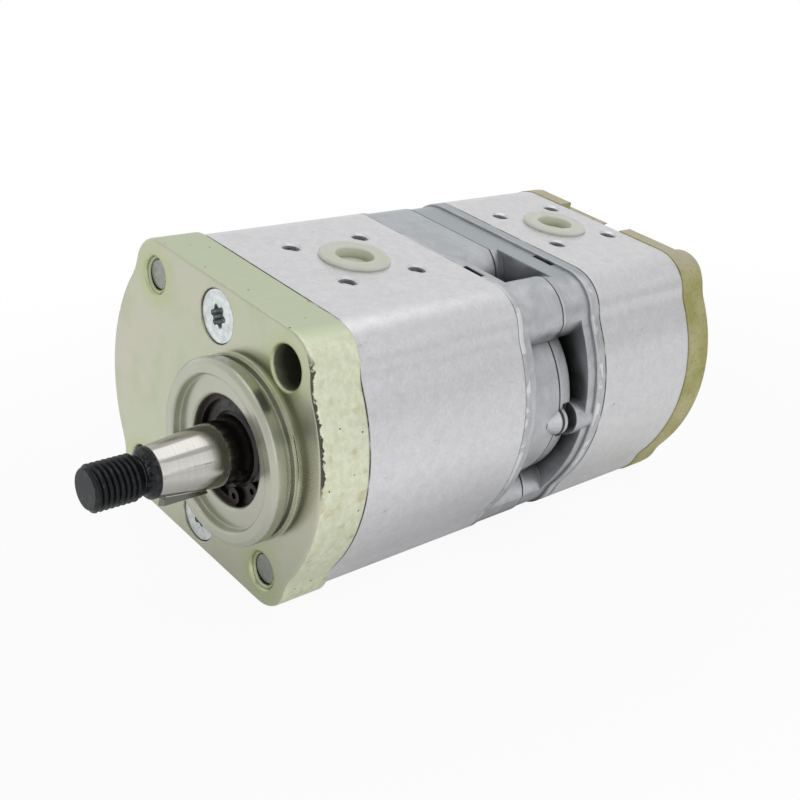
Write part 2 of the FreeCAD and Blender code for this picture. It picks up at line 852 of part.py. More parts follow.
def pocket(start, end, shrink, top, middle_x, corner_x, axis_x):
    """Open pocket between the middle boss and a corner column, down to the hub wall."""
    low, high = sorted((middle_x, corner_x))
    z = sorted((top * pocket_floor, top * (half_height + beyond)))
    hollow = block((low, high), (start, end), z)
    middle = rod(middle_boss_radius - shrink, start, end - start, middle_x, top * half_square)
    column = rod(corner_radius - shrink, start, end - start, corner_x, top * half_square)
    hub = rod(hub_radius, start, end - start, axis_x)
    return hollow.cut([middle, column, hub])


def casting_pockets(start, end, shrink):
    """The three open pockets: upper right, lower right and lower left."""
    right = half_square - shaft_offset
    left = -half_square - shaft_offset
    return [
        pocket(start, end, shrink, 1, -shaft_offset, right, 0.0),
        pocket(start, end, shrink, -1, -shaft_offset, right, 0.0),
        pocket(start, end, shrink, -1, -shaft_offset, left, -centre_distance),
    ]


def casting_masses(start, length, shrink):
    """Corner columns, middle bosses and the solid upper left block of a casting."""
    shapes = corner_rods(all_corners, corner_radius - shrink, start, length)
    for z in (-half_square, half_square):
        shapes.append(rod(middle_boss_radius - shrink, start, length, -shaft_offset, z))
    left = -half_square - shaft_offset
    shapes.append(block((left, -shaft_offset), (start, start + length), (0.0, half_height)))
    limit = prism(outline(start, -shrink), length)
    return joined(shapes).common(limit)


def front_end_casting():
    """End cover of the front stage, bolted face to face to the rear casting."""
    start = front_body_end
    length = front_casting_length
    inner = start + casting_plate
    step = prism(outline(start, -front_scale), casting_plate)
    edge = [edge for edge in step.Edges if edge.BoundBox.YMin > inner - near]
    shapes = [
        slab(start, casting_rim),
        step.makeFillet(step_round, edge),
        prism(stadium(core_radius, start), length),
        casting_masses(start + casting_rim, length - casting_rim, front_scale),
    ]
    for x, z in dowel_places(rear_body_start):
        knob_start = split_plane - lip_length
        knob = turned([
            (0, knob_start),
            (dowel_knob_radius / 2, knob_start),
            (dowel_knob_radius, split_plane),
            (0, split_plane),
        ], x, z)
        shapes.append(knob)
    cuts = casting_pockets(inner, start + length, front_scale)
    cuts.append(rod(coupling_bore, start + coupling_wall, length - coupling_wall))
    cuts.append(rod(shaft_radius + shaft_clearance, start, coupling_wall))
    cuts.append(case_seal_groove(start))
    cuts += corner_rods(tie_corners, tie_bolt_radius + fastener_fit, start, length)
    head = tie_head_height + 2 * fastener_fit
    cuts += corner_rods(tie_corners, tie_head_radius + fastener_fit, split_plane - head, head)
    cuts += mount_holes(start, length)
    depth = joint_bite + screw_hole_run
    for z in (-half_square, half_square):
        radius = joint_screw_radius + fastener_fit
        cuts.append(rod(radius, split_plane - depth, depth, -shaft_offset, z))
    cuts += dowel_holes(start) + dowel_holes(split_plane)
    notch_x = (-notch_left, -notch_left + notch_width)
    notch_z = (half_height - notch_depth, half_height + beyond)
    cuts.append(block(notch_x, (start, start + notch_length), notch_z))
    return joined(shapes).cut(cuts)


def rear_front_casting():
    """Front cover of the rear stage: a lip, an open waist and the rear plate."""
    start = split_plane
    length = rear_casting_length
    end = start + length
    lip_end = start + lip_length
    plate_start = end - rear_plate
    backing_start = plate_start - rear_backing
    slot_start = lip_end - dowel_boss_slot
    shapes = [
        prism(stadium(core_radius - rear_scale + front_scale, start), lip_length),
        prism(stadium(neck_core_radius, start), length),
        prism(outline(backing_start, -rear_scale), rear_backing + rear_plate / 2),
        slab(plate_start, rear_plate),
        casting_masses(start, length - rear_plate, rear_scale),
    ]
    for x, z in dowel_places(end):
        shapes.append(rod(dowel_knob_radius, start, lip_length, x, z))
        shapes.append(rod(dowel_boss_radius, lip_end, plate_start - lip_end, x, z))
    back_wall = end - pocket_back_wall
    wall = block(
        (-half_square - shaft_offset, half_square - shaft_offset),
        (back_wall, plate_start),
        (-half_height, half_height),
    )
    shapes.append(wall.common(prism(outline(back_wall, -rear_scale), plate_start - back_wall)))
    cuts = casting_pockets(start, back_wall, rear_scale)
    cuts.append(rod(coupling_bore, start, end - stage_seal_back - start))
    cuts.append(rod(shaft_radius + shaft_clearance, end - stage_seal_back, stage_seal_back))
    cuts.append(case_seal_groove(end - case_seal_height))
    cuts += corner_rods(tie_corners, tie_bolt_radius + fastener_fit, start, length)
    head = tie_head_height + 2 * fastener_fit
    cuts += corner_rods(tie_corners, tie_head_radius + fastener_fit, start, head)
    cuts += mount_holes(start, length)
    head = joint_head_height + 2 * fastener_fit
    for z in (-half_square, half_square):
        cuts.append(rod(joint_screw_radius + fastener_fit, start, length, -shaft_offset, z))
        cuts.append(rod(joint_head_radius + fastener_fit, end - head, head, -shaft_offset, z))
    cuts += dowel_holes(start) + dowel_holes(end)
    slot_y = (slot_start, slot_start + dowel_boss_slot)
    for x, z in dowel_places(end):
        outward = math.copysign(dowel_boss_radius, x)
        slot_x = sorted((x, x + 2 * outward))
        cuts.append(block(slot_x, slot_y, (z - dowel_boss_radius, z + dowel_boss_radius)))
    notch_x = (-notch_left, -notch_left + notch_width)
    notch_z = (half_height - notch_depth, half_height + beyond)
    cuts.append(block(notch_x, (plate_start - notch_length, plate_start), notch_z))
    return joined(shapes).cut(cuts)


def rear_cover():
    """Cast rear cover: rim, high sides, a domed back and pads round the corner holes."""
    wide = prism(outline(rear_body_end, cover_overhang), cover_side_end - rear_body_end)
    dome = Part.makeLoft(
        [outline(cover_side_end, cover_overhang), outline(cover_end, -cover_dome_inset)], True, True
    )
    shape = joined([wide, dome])
    flats = []
    notches = []
    behind = (cover_rim_end, cover_end)
    whole = (rear_body_end, cover_end)
    waist_x = (-cover_waist_left - shaft_offset, cover_waist_right - shaft_offset)
    notch_x = (-cover_notch_left - shaft_offset, cover_waist_right - shaft_offset)
    for side in (-1, 1):
        top = side * (half_height + beyond)
        flat = sorted((side * (half_height - cover_flat_inset), top))
        waist = sorted((side * (half_height - cover_waist_depth), top))
        notch = sorted((side * (half_height - cover_notch_depth), top))
        flats.append(block((-2 * side_radius, 2 * side_radius), behind, flat))
        notches.append(block(waist_x, whole, waist))
        notches.append(block(notch_x, whole, notch))
    pads = corner_rods(tie_corners, cover_pad_radius, rear_body_end, cover_pad_end - rear_body_end)
    pads += corner_rods(mount_corners, cover_pad_radius, rear_body_end, cover_side_end - rear_body_end)
    shape = joined([shape.cut(flats)] + pads)
    cuts = [case_seal_groove(rear_body_end)] + notches
    cuts += corner_rods(tie_corners, tie_bolt_radius + fastener_fit, rear_body_end, cover_end - rear_body_end)
    cuts += mount_holes(rear_body_end, cover_end - rear_body_end)
    cuts += corner_rods(tie_corners, spot_face_radius, cover_pad_end, cover_end - cover_pad_end)
    cuts += corner_rods(mount_corners, spot_face_radius, cover_side_end, cover_end - cover_side_end)
    for x, z in tie_corners:
        mouth = tie_bolt_radius + tie_hole_break
        cuts.append(countersink(cover_pad_end, -1, mouth, tie_bolt_radius, x - shaft_offset, z))
    for z in (-cover_screw_height, cover_screw_height):
        cuts += screw_seat(cover_rim_end, -1, cover_rim_thickness, z)
        cuts.append(rod(screw_spot_radius, cover_rim_end, cover_dome_height, -shaft_offset, z))
    cuts += dowel_holes(rear_body_end)
    below = (-half_height - beyond, -half_height)
    cuts.append(block((-2 * side_radius, 2 * side_radius), whole, below))
    return shape.cut(cuts)


def port_plug(port_place):
    """Push-in transport plug: hollow stem with two ribs and a wide rim."""
    stem = outlet_radius - plug_fit
    rim = half_height + plug_flange_height
    foot = half_height - plug_stem_length
    hollow = stem - plug_wall
    rib_places = (half_height - plug_rib_spacing, half_height - 2 * plug_rib_spacing)
    points = [
        (0, half_height - plug_hollow_depth),
        (hollow, half_height - plug_hollow_depth),
        (hollow, rim - plug_mouth_break),
        (hollow + plug_mouth_break, rim),
        (plug_flange_radius - plug_rim_break, rim),
        (plug_flange_radius, rim - plug_rim_break),
        (plug_flange_radius, half_height),
        (stem, half_height),
    ]
    for place in rib_places:
        points.append((stem, place + plug_rib_width / 2))
        points.append((stem + plug_rib_height, place))
        points.append((stem, place - plug_rib_width / 2))
    points += [
        (stem, foot + plug_lead),
        (stem - plug_lead, foot),
        (hollow, foot),
        (hollow, half_height - plug_hollow_depth - plug_floor),
        (0, half_height - plug_hollow_depth - plug_floor),
    ]
    corners = [Vector(-port_offset + radius, port_place, height) for radius, height in points]
    face = Part.Face(Part.makePolygon(corners + corners[:1]))
    return face.revolve(Vector(-port_offset, port_place, 0), Vector(0, 0, 1), 360)


front_inner_start = front_gear_end + block_gap
rear_outer_start = rear_body_start + block_gap
rear_inner_start = rear_gear_end + block_gap
front_outer_start = front_body_start + block_gap
front_outer_span = (front_outer_start, front_gear_start - block_gap - front_outer_start)
front_inner_span = (front_inner_start, front_body_end - block_gap - front_inner_start)
rear_outer_span = (rear_outer_start, rear_gear_start - block_gap - rear_outer_start)
rear_inner_span = (rear_inner_start, rear_body_end - block_gap - rear_inner_start)


def block_seal(span, back_at_start):
    """Axial seal that lies in the back of a bearing block."""
    start, length = span
    place = start if back_at_start else start + length - axial_seal_height
    return axial_seal_band(place, axial_seal_height, 0.0)


cover_screw_length = cover_rim_thickness + cover_screw_bite

pieces = {
    "front_flange": front_flange(),
    "shaft_seal": lip_seal(seal_front),
    "seal_retaining_ring": seal_retaining_ring(),
    "drive_shaft": drive_shaft(),
    "woodruff_key": woodruff_key(),
    "flange_screws": middle_screws(0.0, 1, flange_thickness + screw_bite, screw_height),
    "front_tie_bolts": front_tie_bolts(),
    "front_pump_body": front_pump_body(),
    "front_driven_gear": front_driven_gear(),
    "front_outer_bearing_block": bearing_block(*front_outer_span, True),
    "front_inner_bearing_block": bearing_block(*front_inner_span, False),
    "front_bearing_bushes": bushes([front_outer_span, front_inner_span]),
    "front_outer_axial_seal": block_seal(front_outer_span, True),
    "front_inner_axial_seal": block_seal(front_inner_span, False),
    "front_outer_case_seal": case_seal(front_body_start - case_seal_height),
    "front_inner_case_seal": case_seal(front_body_end),
    "front_end_casting": front_end_casting(),
    "drive_coupling": drive_coupling(),
    "stage_shaft_seal": lip_seal(stage_seal_start),
    "casting_screws": casting_screws(),
    "rear_front_casting": rear_front_casting(),
    "dowel_pins": dowel_pins(),
    "rear_pump_body": rear_pump_body(),
    "rear_drive_gear": rear_drive_gear(),
    "rear_driven_gear": rear_driven_gear(),
    "rear_front_bearing_block": bearing_block(*rear_outer_span, True),
    "rear_back_bearing_block": bearing_block(*rear_inner_span, False),
    "rear_bearing_bushes": bushes([rear_outer_span, rear_inner_span]),
    "rear_front_axial_seal": block_seal(rear_outer_span, True),
    "rear_back_axial_seal": block_seal(rear_inner_span, False),
    "rear_front_case_seal": case_seal(rear_body_start - case_seal_height),
    "rear_back_case_seal": case_seal(rear_body_end),
    "rear_cover": rear_cover(),
    "rear_tie_bolts": rear_tie_bolts(),
    "cover_screws": middle_screws(cover_rim_end, -1, cover_screw_length, cover_screw_height),
    "front_outlet_plug": port_plug(front_port_place),
    "rear_outlet_plug": port_plug(rear_port_place),
}

os.makedirs("parts", exist_ok=True)
for name, shape in pieces.items():
    shape.exportStep("parts/" + name + ".step")
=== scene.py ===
import json
import math
import random

import bpy
from mathutils import Matrix, Vector


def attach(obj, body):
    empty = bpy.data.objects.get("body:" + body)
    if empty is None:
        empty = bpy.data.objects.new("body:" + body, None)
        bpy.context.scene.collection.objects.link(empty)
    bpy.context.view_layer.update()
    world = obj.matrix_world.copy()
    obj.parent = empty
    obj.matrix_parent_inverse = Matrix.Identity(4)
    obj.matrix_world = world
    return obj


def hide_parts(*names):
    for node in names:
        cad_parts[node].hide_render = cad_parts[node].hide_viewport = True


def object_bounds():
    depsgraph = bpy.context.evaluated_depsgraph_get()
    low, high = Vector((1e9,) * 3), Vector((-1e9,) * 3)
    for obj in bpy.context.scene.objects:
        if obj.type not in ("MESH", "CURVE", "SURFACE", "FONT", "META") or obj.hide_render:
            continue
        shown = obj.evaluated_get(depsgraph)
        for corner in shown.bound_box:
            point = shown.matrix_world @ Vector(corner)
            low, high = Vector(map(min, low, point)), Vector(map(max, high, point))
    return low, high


# Looks of a tandem gear pump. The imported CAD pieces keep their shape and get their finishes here.
# The shaft's thread, the threads in the port and tie bolt holes and the flange's burr are modelled.
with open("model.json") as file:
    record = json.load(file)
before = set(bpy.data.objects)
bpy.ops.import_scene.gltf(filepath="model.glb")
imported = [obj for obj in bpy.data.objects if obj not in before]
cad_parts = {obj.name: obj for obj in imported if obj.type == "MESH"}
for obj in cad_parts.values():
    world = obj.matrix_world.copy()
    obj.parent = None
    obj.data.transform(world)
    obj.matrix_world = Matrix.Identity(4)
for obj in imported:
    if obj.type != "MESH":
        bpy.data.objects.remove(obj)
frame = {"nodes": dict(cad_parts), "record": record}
cad_low, cad_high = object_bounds()

MM = 0.001
PER_MM = 1 / MM


def span(node, axis):
    """Lowest and highest place of a CAD piece along an axis, in millimetres."""
    piece = frame["nodes"][node]
    places = [(piece.matrix_world @ vertex.co)[axis] / MM for vertex in piece.data.vertices]
    return min(places), max(places)


# Places and sizes on the CAD pieces, in millimetres. X points right, Y to the rear and Z up.
# The shaft: its thread, neck and collar, and the cuts that keep the shading even along it
THREAD_START = span("drive_shaft", 1)[0]
THREAD_RADIUS = 6.0
THREAD_PITCH = 1.5
THREAD_DEPTH = 0.92
TIP_CHAMFER = 1.0
NECK_CUT = -30.1
NECK_RADIUS = 5.0
BLACK_END = -27.0
SHADING_CUTS = (-28.4, -28.0, -27.7, -27.1, -26.8, -9.2, -8.8)
# The taper's loss of radius per millimetre, and its radius if it ran on to the flange's face
TAPER_SLOPE = 0.1
TAPER_AT_FACE = 9.4

# The housing: its middle, its joints, the face between the castings and the corner holes
MIDDLE_X = sum(span("front_pump_body", 0)) / 2
BODY_HALF_HEIGHT = span("front_pump_body", 2)[1]
JOINTS = (*span("front_pump_body", 1), *span("rear_pump_body", 1))
SPLIT = span("rear_front_casting", 1)[0]
HOLE_HALF = 30.0
TIE_HOLE_RADIUS = 5.05
FLANGE_SIDE_RADIUS = 49.23
COVER_PAD_END = 157.5

# The ports and the squares of screw holes round them
PORT_X = -17.0
PORT_PLACES = (45.6, 130.0)
OUTLET_HALF = 12.5
INLET_HALF = 14.15
PORT_SCREW_RADIUS = 2.5

# How close to a cutting plane a point counts as on it
CUT_THRESHOLD = 0.0001


# Small tools

def linear(code):
    """Linear colour of an sRGB hex value."""
    channels = [int(code[place:place + 2], 16) / 255 for place in (0, 2, 4)]
    return [c / 12.92 if c <= 0.04045 else ((c + 0.055) / 1.055)**2.4 for c in channels] + [1.0]


def select_only(piece):
    """Makes one object the only selected one and the active one."""
    bpy.ops.object.select_all(action="DESELECT")
    piece.select_set(True)
    bpy.context.view_layer.objects.active = piece


def apply_modifier(piece, kind, **settings):
    """Adds a modifier with its settings and applies it."""
    select_only(piece)
    modifier = piece.modifiers.new(kind.lower(), kind)
    for name, value in settings.items():
        setattr(modifier, name, value)
    bpy.ops.object.modifier_apply(modifier=modifier.name)


def shade_smooth(piece, angle):
    """Smooths the shading over edges that turn by less than an angle in degrees."""
    select_only(piece)
    bpy.ops.object.shade_smooth_by_angle(angle=math.radians(angle))


# Materials

def add(tree, kind, inputs=None, output=0, **settings):
    """Adds a shader node. Its inputs are values or the outputs of other nodes. Returns one output."""
    made = tree.nodes.new("ShaderNode" + kind)
    for name, value in settings.items():
        setattr(made, name, value)
    for name, value in (inputs or {}).items():
        if isinstance(value, bpy.types.NodeSocket):
            tree.links.new(value, made.inputs[name])
        else:
            made.inputs[name].default_value = value
    return made.outputs[output] if made.outputs else None


def new_finish(name):
    """An empty node material, its tree and the place on the object in metres."""
    finish = bpy.data.materials.new(name)
    finish.use_nodes = True
    finish.node_tree.nodes.clear()
    return finish, finish.node_tree, add(finish.node_tree, "TexCoord", output="Object")


def distance_from(tree, value, place_mm):
    """How far a coordinate is from a place, in metres."""
    gap = add(tree, "Math", {0: value, 1: place_mm * MM}, operation="SUBTRACT")
    return add(tree, "Math", {0: gap}, operation="ABSOLUTE")


def chromated_steel():
    """Zinc plate with a yellow chromate film on machined steel. The faced front is satin and pale
    olive green, with pink clouds, a yellower film round the corner holes and a greyer pilot. The
    sawn sides are rougher: green above and below and paler on the bulging sides, with fine lines
    along the pump, brown stains, small pits and a torn front edge with painted shadow along it.
    Painted shade darkens the recesses and the corner holes, more so deeper in."""
    finish, tree, place = new_finish("yellow_chromated_zinc_on_steel")
    across = add(tree, "SeparateXYZ", {0: place}, "X")
    along = add(tree, "SeparateXYZ", {0: place}, "Y")
    height = add(tree, "SeparateXYZ", {0: place}, "Z")
    facing = add(tree, "TexCoord", output="Normal")
    facing = add(tree, "VectorMath", {0: facing}, operation="ABSOLUTE")
    level = add(tree, "SeparateXYZ", {0: facing}, "Z")
    facing = add(tree, "SeparateXYZ", {0: facing}, "Y")
    sawn = add(tree, "MapRange", {"Value": facing, "From Min": 0.75, "From Max": 0.45})
    behind = add(tree, "MapRange", {"Value": along, "From Min": 0.1 * MM, "From Max": 0.5 * MM})
    sawn = add(tree, "Math", {0: sawn, 1: behind}, operation="MULTIPLY")

    clouds = add(tree, "TexNoise", {"Vector": place, "Scale": PER_MM / 24, "Detail": 2.0})
    clouds = add(tree, "MapRange", {"Value": clouds, "From Min": 0.38, "From Max": 0.66})
    colour = add(
        tree, "Mix", {0: clouds, 6: linear("c0c5ae"), 7: linear("c7c3b4")}, 2, data_type="RGBA",
    )

    green = add(tree, "TexNoise", {"Vector": place, "Scale": PER_MM / 11, "Detail": 3.0})
    green = add(tree, "MapRange", {"Value": green, "From Min": 0.46, "From Max": 0.8, "To Max": 0.7})
    colour = add(tree, "Mix", {0: green, 6: colour, 7: linear("b1bc98")}, 2, data_type="RGBA")

    # Distance from the nearest corner hole, worked out once for all four
    middle = add(tree, "VectorMath", {0: place, 1: (-MIDDLE_X * MM, 0, 0)}, operation="ADD")
    quarter = add(tree, "VectorMath", {0: middle}, operation="ABSOLUTE")
    to_hole = add(
        tree, "VectorMath", {0: quarter, 1: (HOLE_HALF * MM, 0, HOLE_HALF * MM)},
        operation="SUBTRACT",
    )
    to_hole = add(tree, "VectorMath", {0: to_hole, 1: (1, 0, 1)}, operation="MULTIPLY")
    to_hole = add(tree, "VectorMath", {0: to_hole}, "Value", operation="LENGTH")
    thick = add(
        tree, "MapRange",
        {"Value": to_hole, "From Min": 11 * MM, "From Max": 6 * MM, "To Max": 0.6},
    )
    colour = add(tree, "Mix", {0: thick, 6: colour, 7: linear("b6c08e")}, 2, data_type="RGBA")

    # Thinner film on the turned pilot
    turned = add(
        tree, "MapRange",
        {"Value": along, "From Min": -0.5 * MM, "From Max": -1.5 * MM, "To Max": 0.5},
    )
    colour = add(tree, "Mix", {0: turned, 6: colour, 7: linear("b4b5ad")}, 2, data_type="RGBA")

    # Sawn sides
    lines = add(tree, "Mapping", {"Vector": place, "Scale": (1, 0.06, 1)})
    lines = add(
        tree, "TexNoise", {"Vector": lines, "Scale": PER_MM / 0.7, "Detail": 4.0, "Roughness": 0.6},
    )
    side = add(
        tree, "Mix", {0: lines, 6: linear("d3d8b9"), 7: linear("e3e6cd")}, 2, data_type="RGBA",
    )
    mottle = add(
        tree, "TexNoise", {"Vector": place, "Scale": PER_MM / 2.2, "Detail": 5.0, "Roughness": 0.7},
    )
    mottle = add(tree, "MapRange", {"Value": mottle, "From Min": 0.42, "From Max": 0.62})
    side = add(tree, "Mix", {0: mottle, 6: side, 7: linear("e9ecd6")}, 2, data_type="RGBA")
    stain = add(tree, "TexNoise", {"Vector": place, "Scale": PER_MM / 4, "Detail": 4.0})
    stain = add(tree, "MapRange", {"Value": stain, "From Min": 0.57, "From Max": 0.72, "To Max": 0.5})
    side = add(tree, "Mix", {0: stain, 6: side, 7: linear("c0ae80")}, 2, data_type="RGBA")
    flat_side = add(
        tree, "Mix", {0: lines, 6: linear("bcc4a8"), 7: linear("c8cfb7")}, 2, data_type="RGBA",
    )
    level = add(tree, "MapRange", {"Value": level, "From Min": 0.75, "From Max": 0.95})
    side = add(tree, "Mix", {0: level, 6: side, 7: flat_side}, 2, data_type="RGBA")
    colour = add(tree, "Mix", {0: sawn, 6: colour, 7: side}, 2, data_type="RGBA")

    # Pits, in the few cells that a random draw picks
    cells = {"Vector": place, "Scale": PER_MM / 2.8}
    near = add(tree, "TexVoronoi", cells, "Distance")
    draw = add(tree, "SeparateColor", {0: add(tree, "TexVoronoi", cells, "Color")})
    spot = add(tree, "MapRange", {"Value": near, "From Min": 0.11, "From Max": 0.06})
    few = add(tree, "MapRange", {"Value": draw, "From Min": 0.6, "From Max": 0.62})
    pits = add(tree, "Math", {0: spot, 1: few}, operation="MULTIPLY")
    pits = add(tree, "Math", {0: pits, 1: sawn}, operation="MULTIPLY")
    colour = add(tree, "Mix", {0: pits, 6: colour, 7: linear("403e30")}, 2, data_type="RGBA")

    # Torn edge between the front face and the bulging right side, beside the corner hole, dark with
    # painted shadow along it
    ragged = add(tree, "TexNoise", {"Vector": place, "Scale": PER_MM / 1.4, "Detail": 5.0})
    ragged = add(
        tree, "MapRange",
        {"Value": ragged, "From Min": 0.3, "From Max": 0.7, "To Min": -0.75 * MM, "To Max": 0.75 * MM},
    )
    depth = add(tree, "Math", {0: along, 1: ragged}, operation="ADD")
    torn_shaded_edge = add(
        tree, "MapRange", {"Value": depth, "From Min": 0.8 * MM, "From Max": 0.6 * MM},
    )
    right = add(tree, "MapRange", {"Value": across, "From Min": 20 * MM, "From Max": 21 * MM})
    torn_shaded_edge = add(tree, "Math", {0: torn_shaded_edge, 1: right}, operation="MULTIPLY")
    for first, last in ((2 * MM, 7 * MM), (37 * MM, 34 * MM)):
        ends = add(tree, "MapRange", {"Value": height, "From Min": first, "From Max": last})
        torn_shaded_edge = add(tree, "Math", {0: torn_shaded_edge, 1: ends}, operation="MULTIPLY")
    off_face = add(tree, "MapRange", {"Value": facing, "From Min": 0.97, "From Max": 0.9})
    torn_shaded_edge = add(tree, "Math", {0: torn_shaded_edge, 1: off_face}, operation="MULTIPLY")
    off_pilot = add(tree, "MapRange", {"Value": along, "From Min": -0.3 * MM, "From Max": -0.1 * MM})
    torn_shaded_edge = add(tree, "Math", {0: torn_shaded_edge, 1: off_pilot}, operation="MULTIPLY")
    colour = add(tree, "Mix", {0: torn_shaded_edge, 6: colour, 7: linear("57544a")}, 2, data_type="RGBA")

    # Painted shade in recesses and in the corner holes, darker deeper in
    open_share = add(tree, "AmbientOcclusion", {"Distance": 4 * MM}, "AO", samples=8)
    darkening = add(
        tree, "MapRange", {"Value": open_share, "From Min": 0.4, "From Max": 0.1, "To Max": 0.4},
    )
    in_hole = add(tree, "MapRange", {"Value": to_hole, "From Min": 6.2 * MM, "From Max": 5.8 * MM})
    deep = add(
        tree, "MapRange",
        {"Value": along, "From Min": 0.6 * MM, "From Max": 4.0 * MM, "To Max": 0.72},
    )
    in_hole = add(tree, "Math", {0: in_hole, 1: deep}, operation="MULTIPLY")
    darkening = add(tree, "Math", {0: darkening, 1: in_hole}, operation="MAXIMUM")
    colour = add(tree, "Mix", {0: darkening, 6: colour, 7: linear("45442f")}, 2, data_type="RGBA")

    grit = add(tree, "TexNoise", {"Vector": place, "Scale": PER_MM / 0.5, "Detail": 3.0})
    rounded = add(tree, "Bevel", {"Radius": 0.9 * MM}, samples=4)
    normal = add(
        tree, "Bump",
        {"Height": lines, "Distance": 0.01 * MM, "Strength": sawn, "Normal": rounded},
    )
    normal = add(
        tree, "Bump", {"Height": grit, "Distance": 0.006 * MM, "Strength": 1.0, "Normal": normal},
    )
    hollow = add(tree, "Math", {0: pits, 1: torn_shaded_edge}, operation="ADD")
    hollow = add(tree, "Math", {0: hollow, 1: -1.0}, operation="MULTIPLY")
    normal = add(
        tree, "Bump", {"Height": hollow, "Distance": 0.15 * MM, "Strength": 1.0, "Normal": normal},
    )
    rough = add(tree, "MapRange", {"Value": sawn, "To Min": 0.25, "To Max": 0.5})
    shader = add(tree, "BsdfPrincipled", {
        "Base Color": colour, "Roughness": rough, "Normal": normal, "Metallic": 0.92,
    })
    add(tree, "OutputMaterial", {"Surface": shader})
    return finish


def joint_line(tree, along, place, width_mm):
    """A broken dark line of oil and dirt at each joint between two housing pieces."""
    nearest = distance_from(tree, along, JOINTS[0])
    for joint in JOINTS[1:]:
        gap = distance_from(tree, along, joint)
        nearest = add(tree, "Math", {0: nearest, 1: gap}, operation="MINIMUM")
    line = add(
        tree, "MapRange",
        {"Value": nearest, "From Min": width_mm * MM, "From Max": 0.6 * width_mm * MM},
    )
    broken = add(tree, "TexNoise", {"Vector": place, "Scale": PER_MM / 7, "Detail": 3.0})
    broken = add(tree, "MapRange", {"Value": broken, "From Min": 0.35, "From Max": 0.5, "To Min": 0.3})
    return add(tree, "Math", {0: line, 1: broken}, operation="MULTIPLY")


def extruded_aluminium():
    """Extruded and milled aluminium, left uncoated: light grey and satin, with a fine grain, faint lines
    along the pump, a few handling marks, dark lines in the joints, and painted shade and a glossier
    surface in the holes."""
    finish, tree, place = new_finish("bare_extruded_aluminium")
    along = add(tree, "SeparateXYZ", {0: place}, "Y")
    fine = add(
        tree, "TexNoise", {"Vector": place, "Scale": PER_MM / 0.9, "Detail": 4.0, "Roughness": 0.7},
    )
    grain = add(tree, "MapRange", {"Value": fine, "From Min": 0.3, "From Max": 0.7})
    colour = add(
        tree, "Mix", {0: grain, 6: linear("d6d6d8"), 7: linear("e5e5e6")}, 2, data_type="RGBA",
    )
    cloud = add(tree, "TexNoise", {"Vector": place, "Scale": PER_MM / 3, "Detail": 4.0})
    cloud = add(tree, "MapRange", {"Value": cloud, "From Min": 0.4, "From Max": 0.65, "To Max": 0.25})
    colour = add(tree, "Mix", {0: cloud, 6: colour, 7: linear("c6c5cb")}, 2, data_type="RGBA")
    marks = add(tree, "Mapping", {"Vector": place, "Scale": (1, 0.35, 0.8), "Rotation": (0.4, 0, 0.5)})
    marks = add(
        tree, "TexNoise", {"Vector": marks, "Scale": PER_MM / 3.2, "Detail": 6.0, "Roughness": 0.75},
    )
    marks = add(tree, "MapRange", {"Value": marks, "From Min": 0.65, "From Max": 0.73, "To Max": 0.6})
    colour = add(tree, "Mix", {0: marks, 6: colour, 7: linear("8f8f92")}, 2, data_type="RGBA")
    darker_share = joint_line(tree, along, place, width_mm=0.32)
    colour = add(tree, "Mix", {0: darker_share, 6: colour, 7: linear("4b4c46")}, 2, data_type="RGBA")

    # Painted shade inside the holes below their mouths, with a glossier surface, broken by patches left
    # light that stand in for glints on the thread
    open_share = add(tree, "AmbientOcclusion", {"Distance": 5 * MM}, "AO", samples=8)
    hole_shade_and_gloss = add(
        tree, "MapRange", {"Value": open_share, "From Min": 0.55, "From Max": 0.25, "To Max": 0.97},
    )
    height = add(tree, "SeparateXYZ", {0: place}, "Z")
    height = add(tree, "Math", {0: height}, operation="ABSOLUTE")
    deep = add(
        tree, "MapRange",
        {"Value": height, "From Min": (BODY_HALF_HEIGHT - 0.9) * MM,
         "From Max": (BODY_HALF_HEIGHT - 2.2) * MM},
    )
    hole_shade_and_gloss = add(tree, "Math", {0: hole_shade_and_gloss, 1: deep}, operation="MULTIPLY")
    glint_gaps = add(tree, "TexNoise", {"Vector": place, "Scale": PER_MM / 1.0, "Detail": 2.0})
    glint_gaps = add(
        tree, "MapRange",
        {"Value": glint_gaps, "From Min": 0.5, "From Max": 0.54, "To Min": 1.0, "To Max": 0.1},
    )
    hole_shade_and_gloss = add(tree, "Math", {0: hole_shade_and_gloss, 1: glint_gaps}, operation="MULTIPLY")
    colour = add(tree, "Mix", {0: hole_shade_and_gloss, 6: colour, 7: linear("1e1b18")}, 2, data_type="RGBA")

    lines = add(tree, "Mapping", {"Vector": place, "Scale": (1, 0.05, 1)})
    lines = add(tree, "TexNoise", {"Vector": lines, "Scale": PER_MM / 1.2, "Detail": 3.0})
    normal = add(tree, "Bump", {"Height": lines, "Distance": 0.012 * MM, "Strength": 1.0})
    normal = add(
        tree, "Bump", {"Height": fine, "Distance": 0.010 * MM, "Strength": 1.0, "Normal": normal},
    )
    rough = add(tree, "MapRange", {"Value": grain, "To Min": 0.34, "To Max": 0.44})
    rough = add(tree, "Mix", {0: hole_shade_and_gloss, 2: rough, 3: 0.15})
    shader = add(tree, "BsdfPrincipled", {
        "Base Color": colour, "Roughness": rough, "Normal": normal, "Metallic": 0.9,
    })
    add(tree, "OutputMaterial", {"Surface": shader})
    return finish


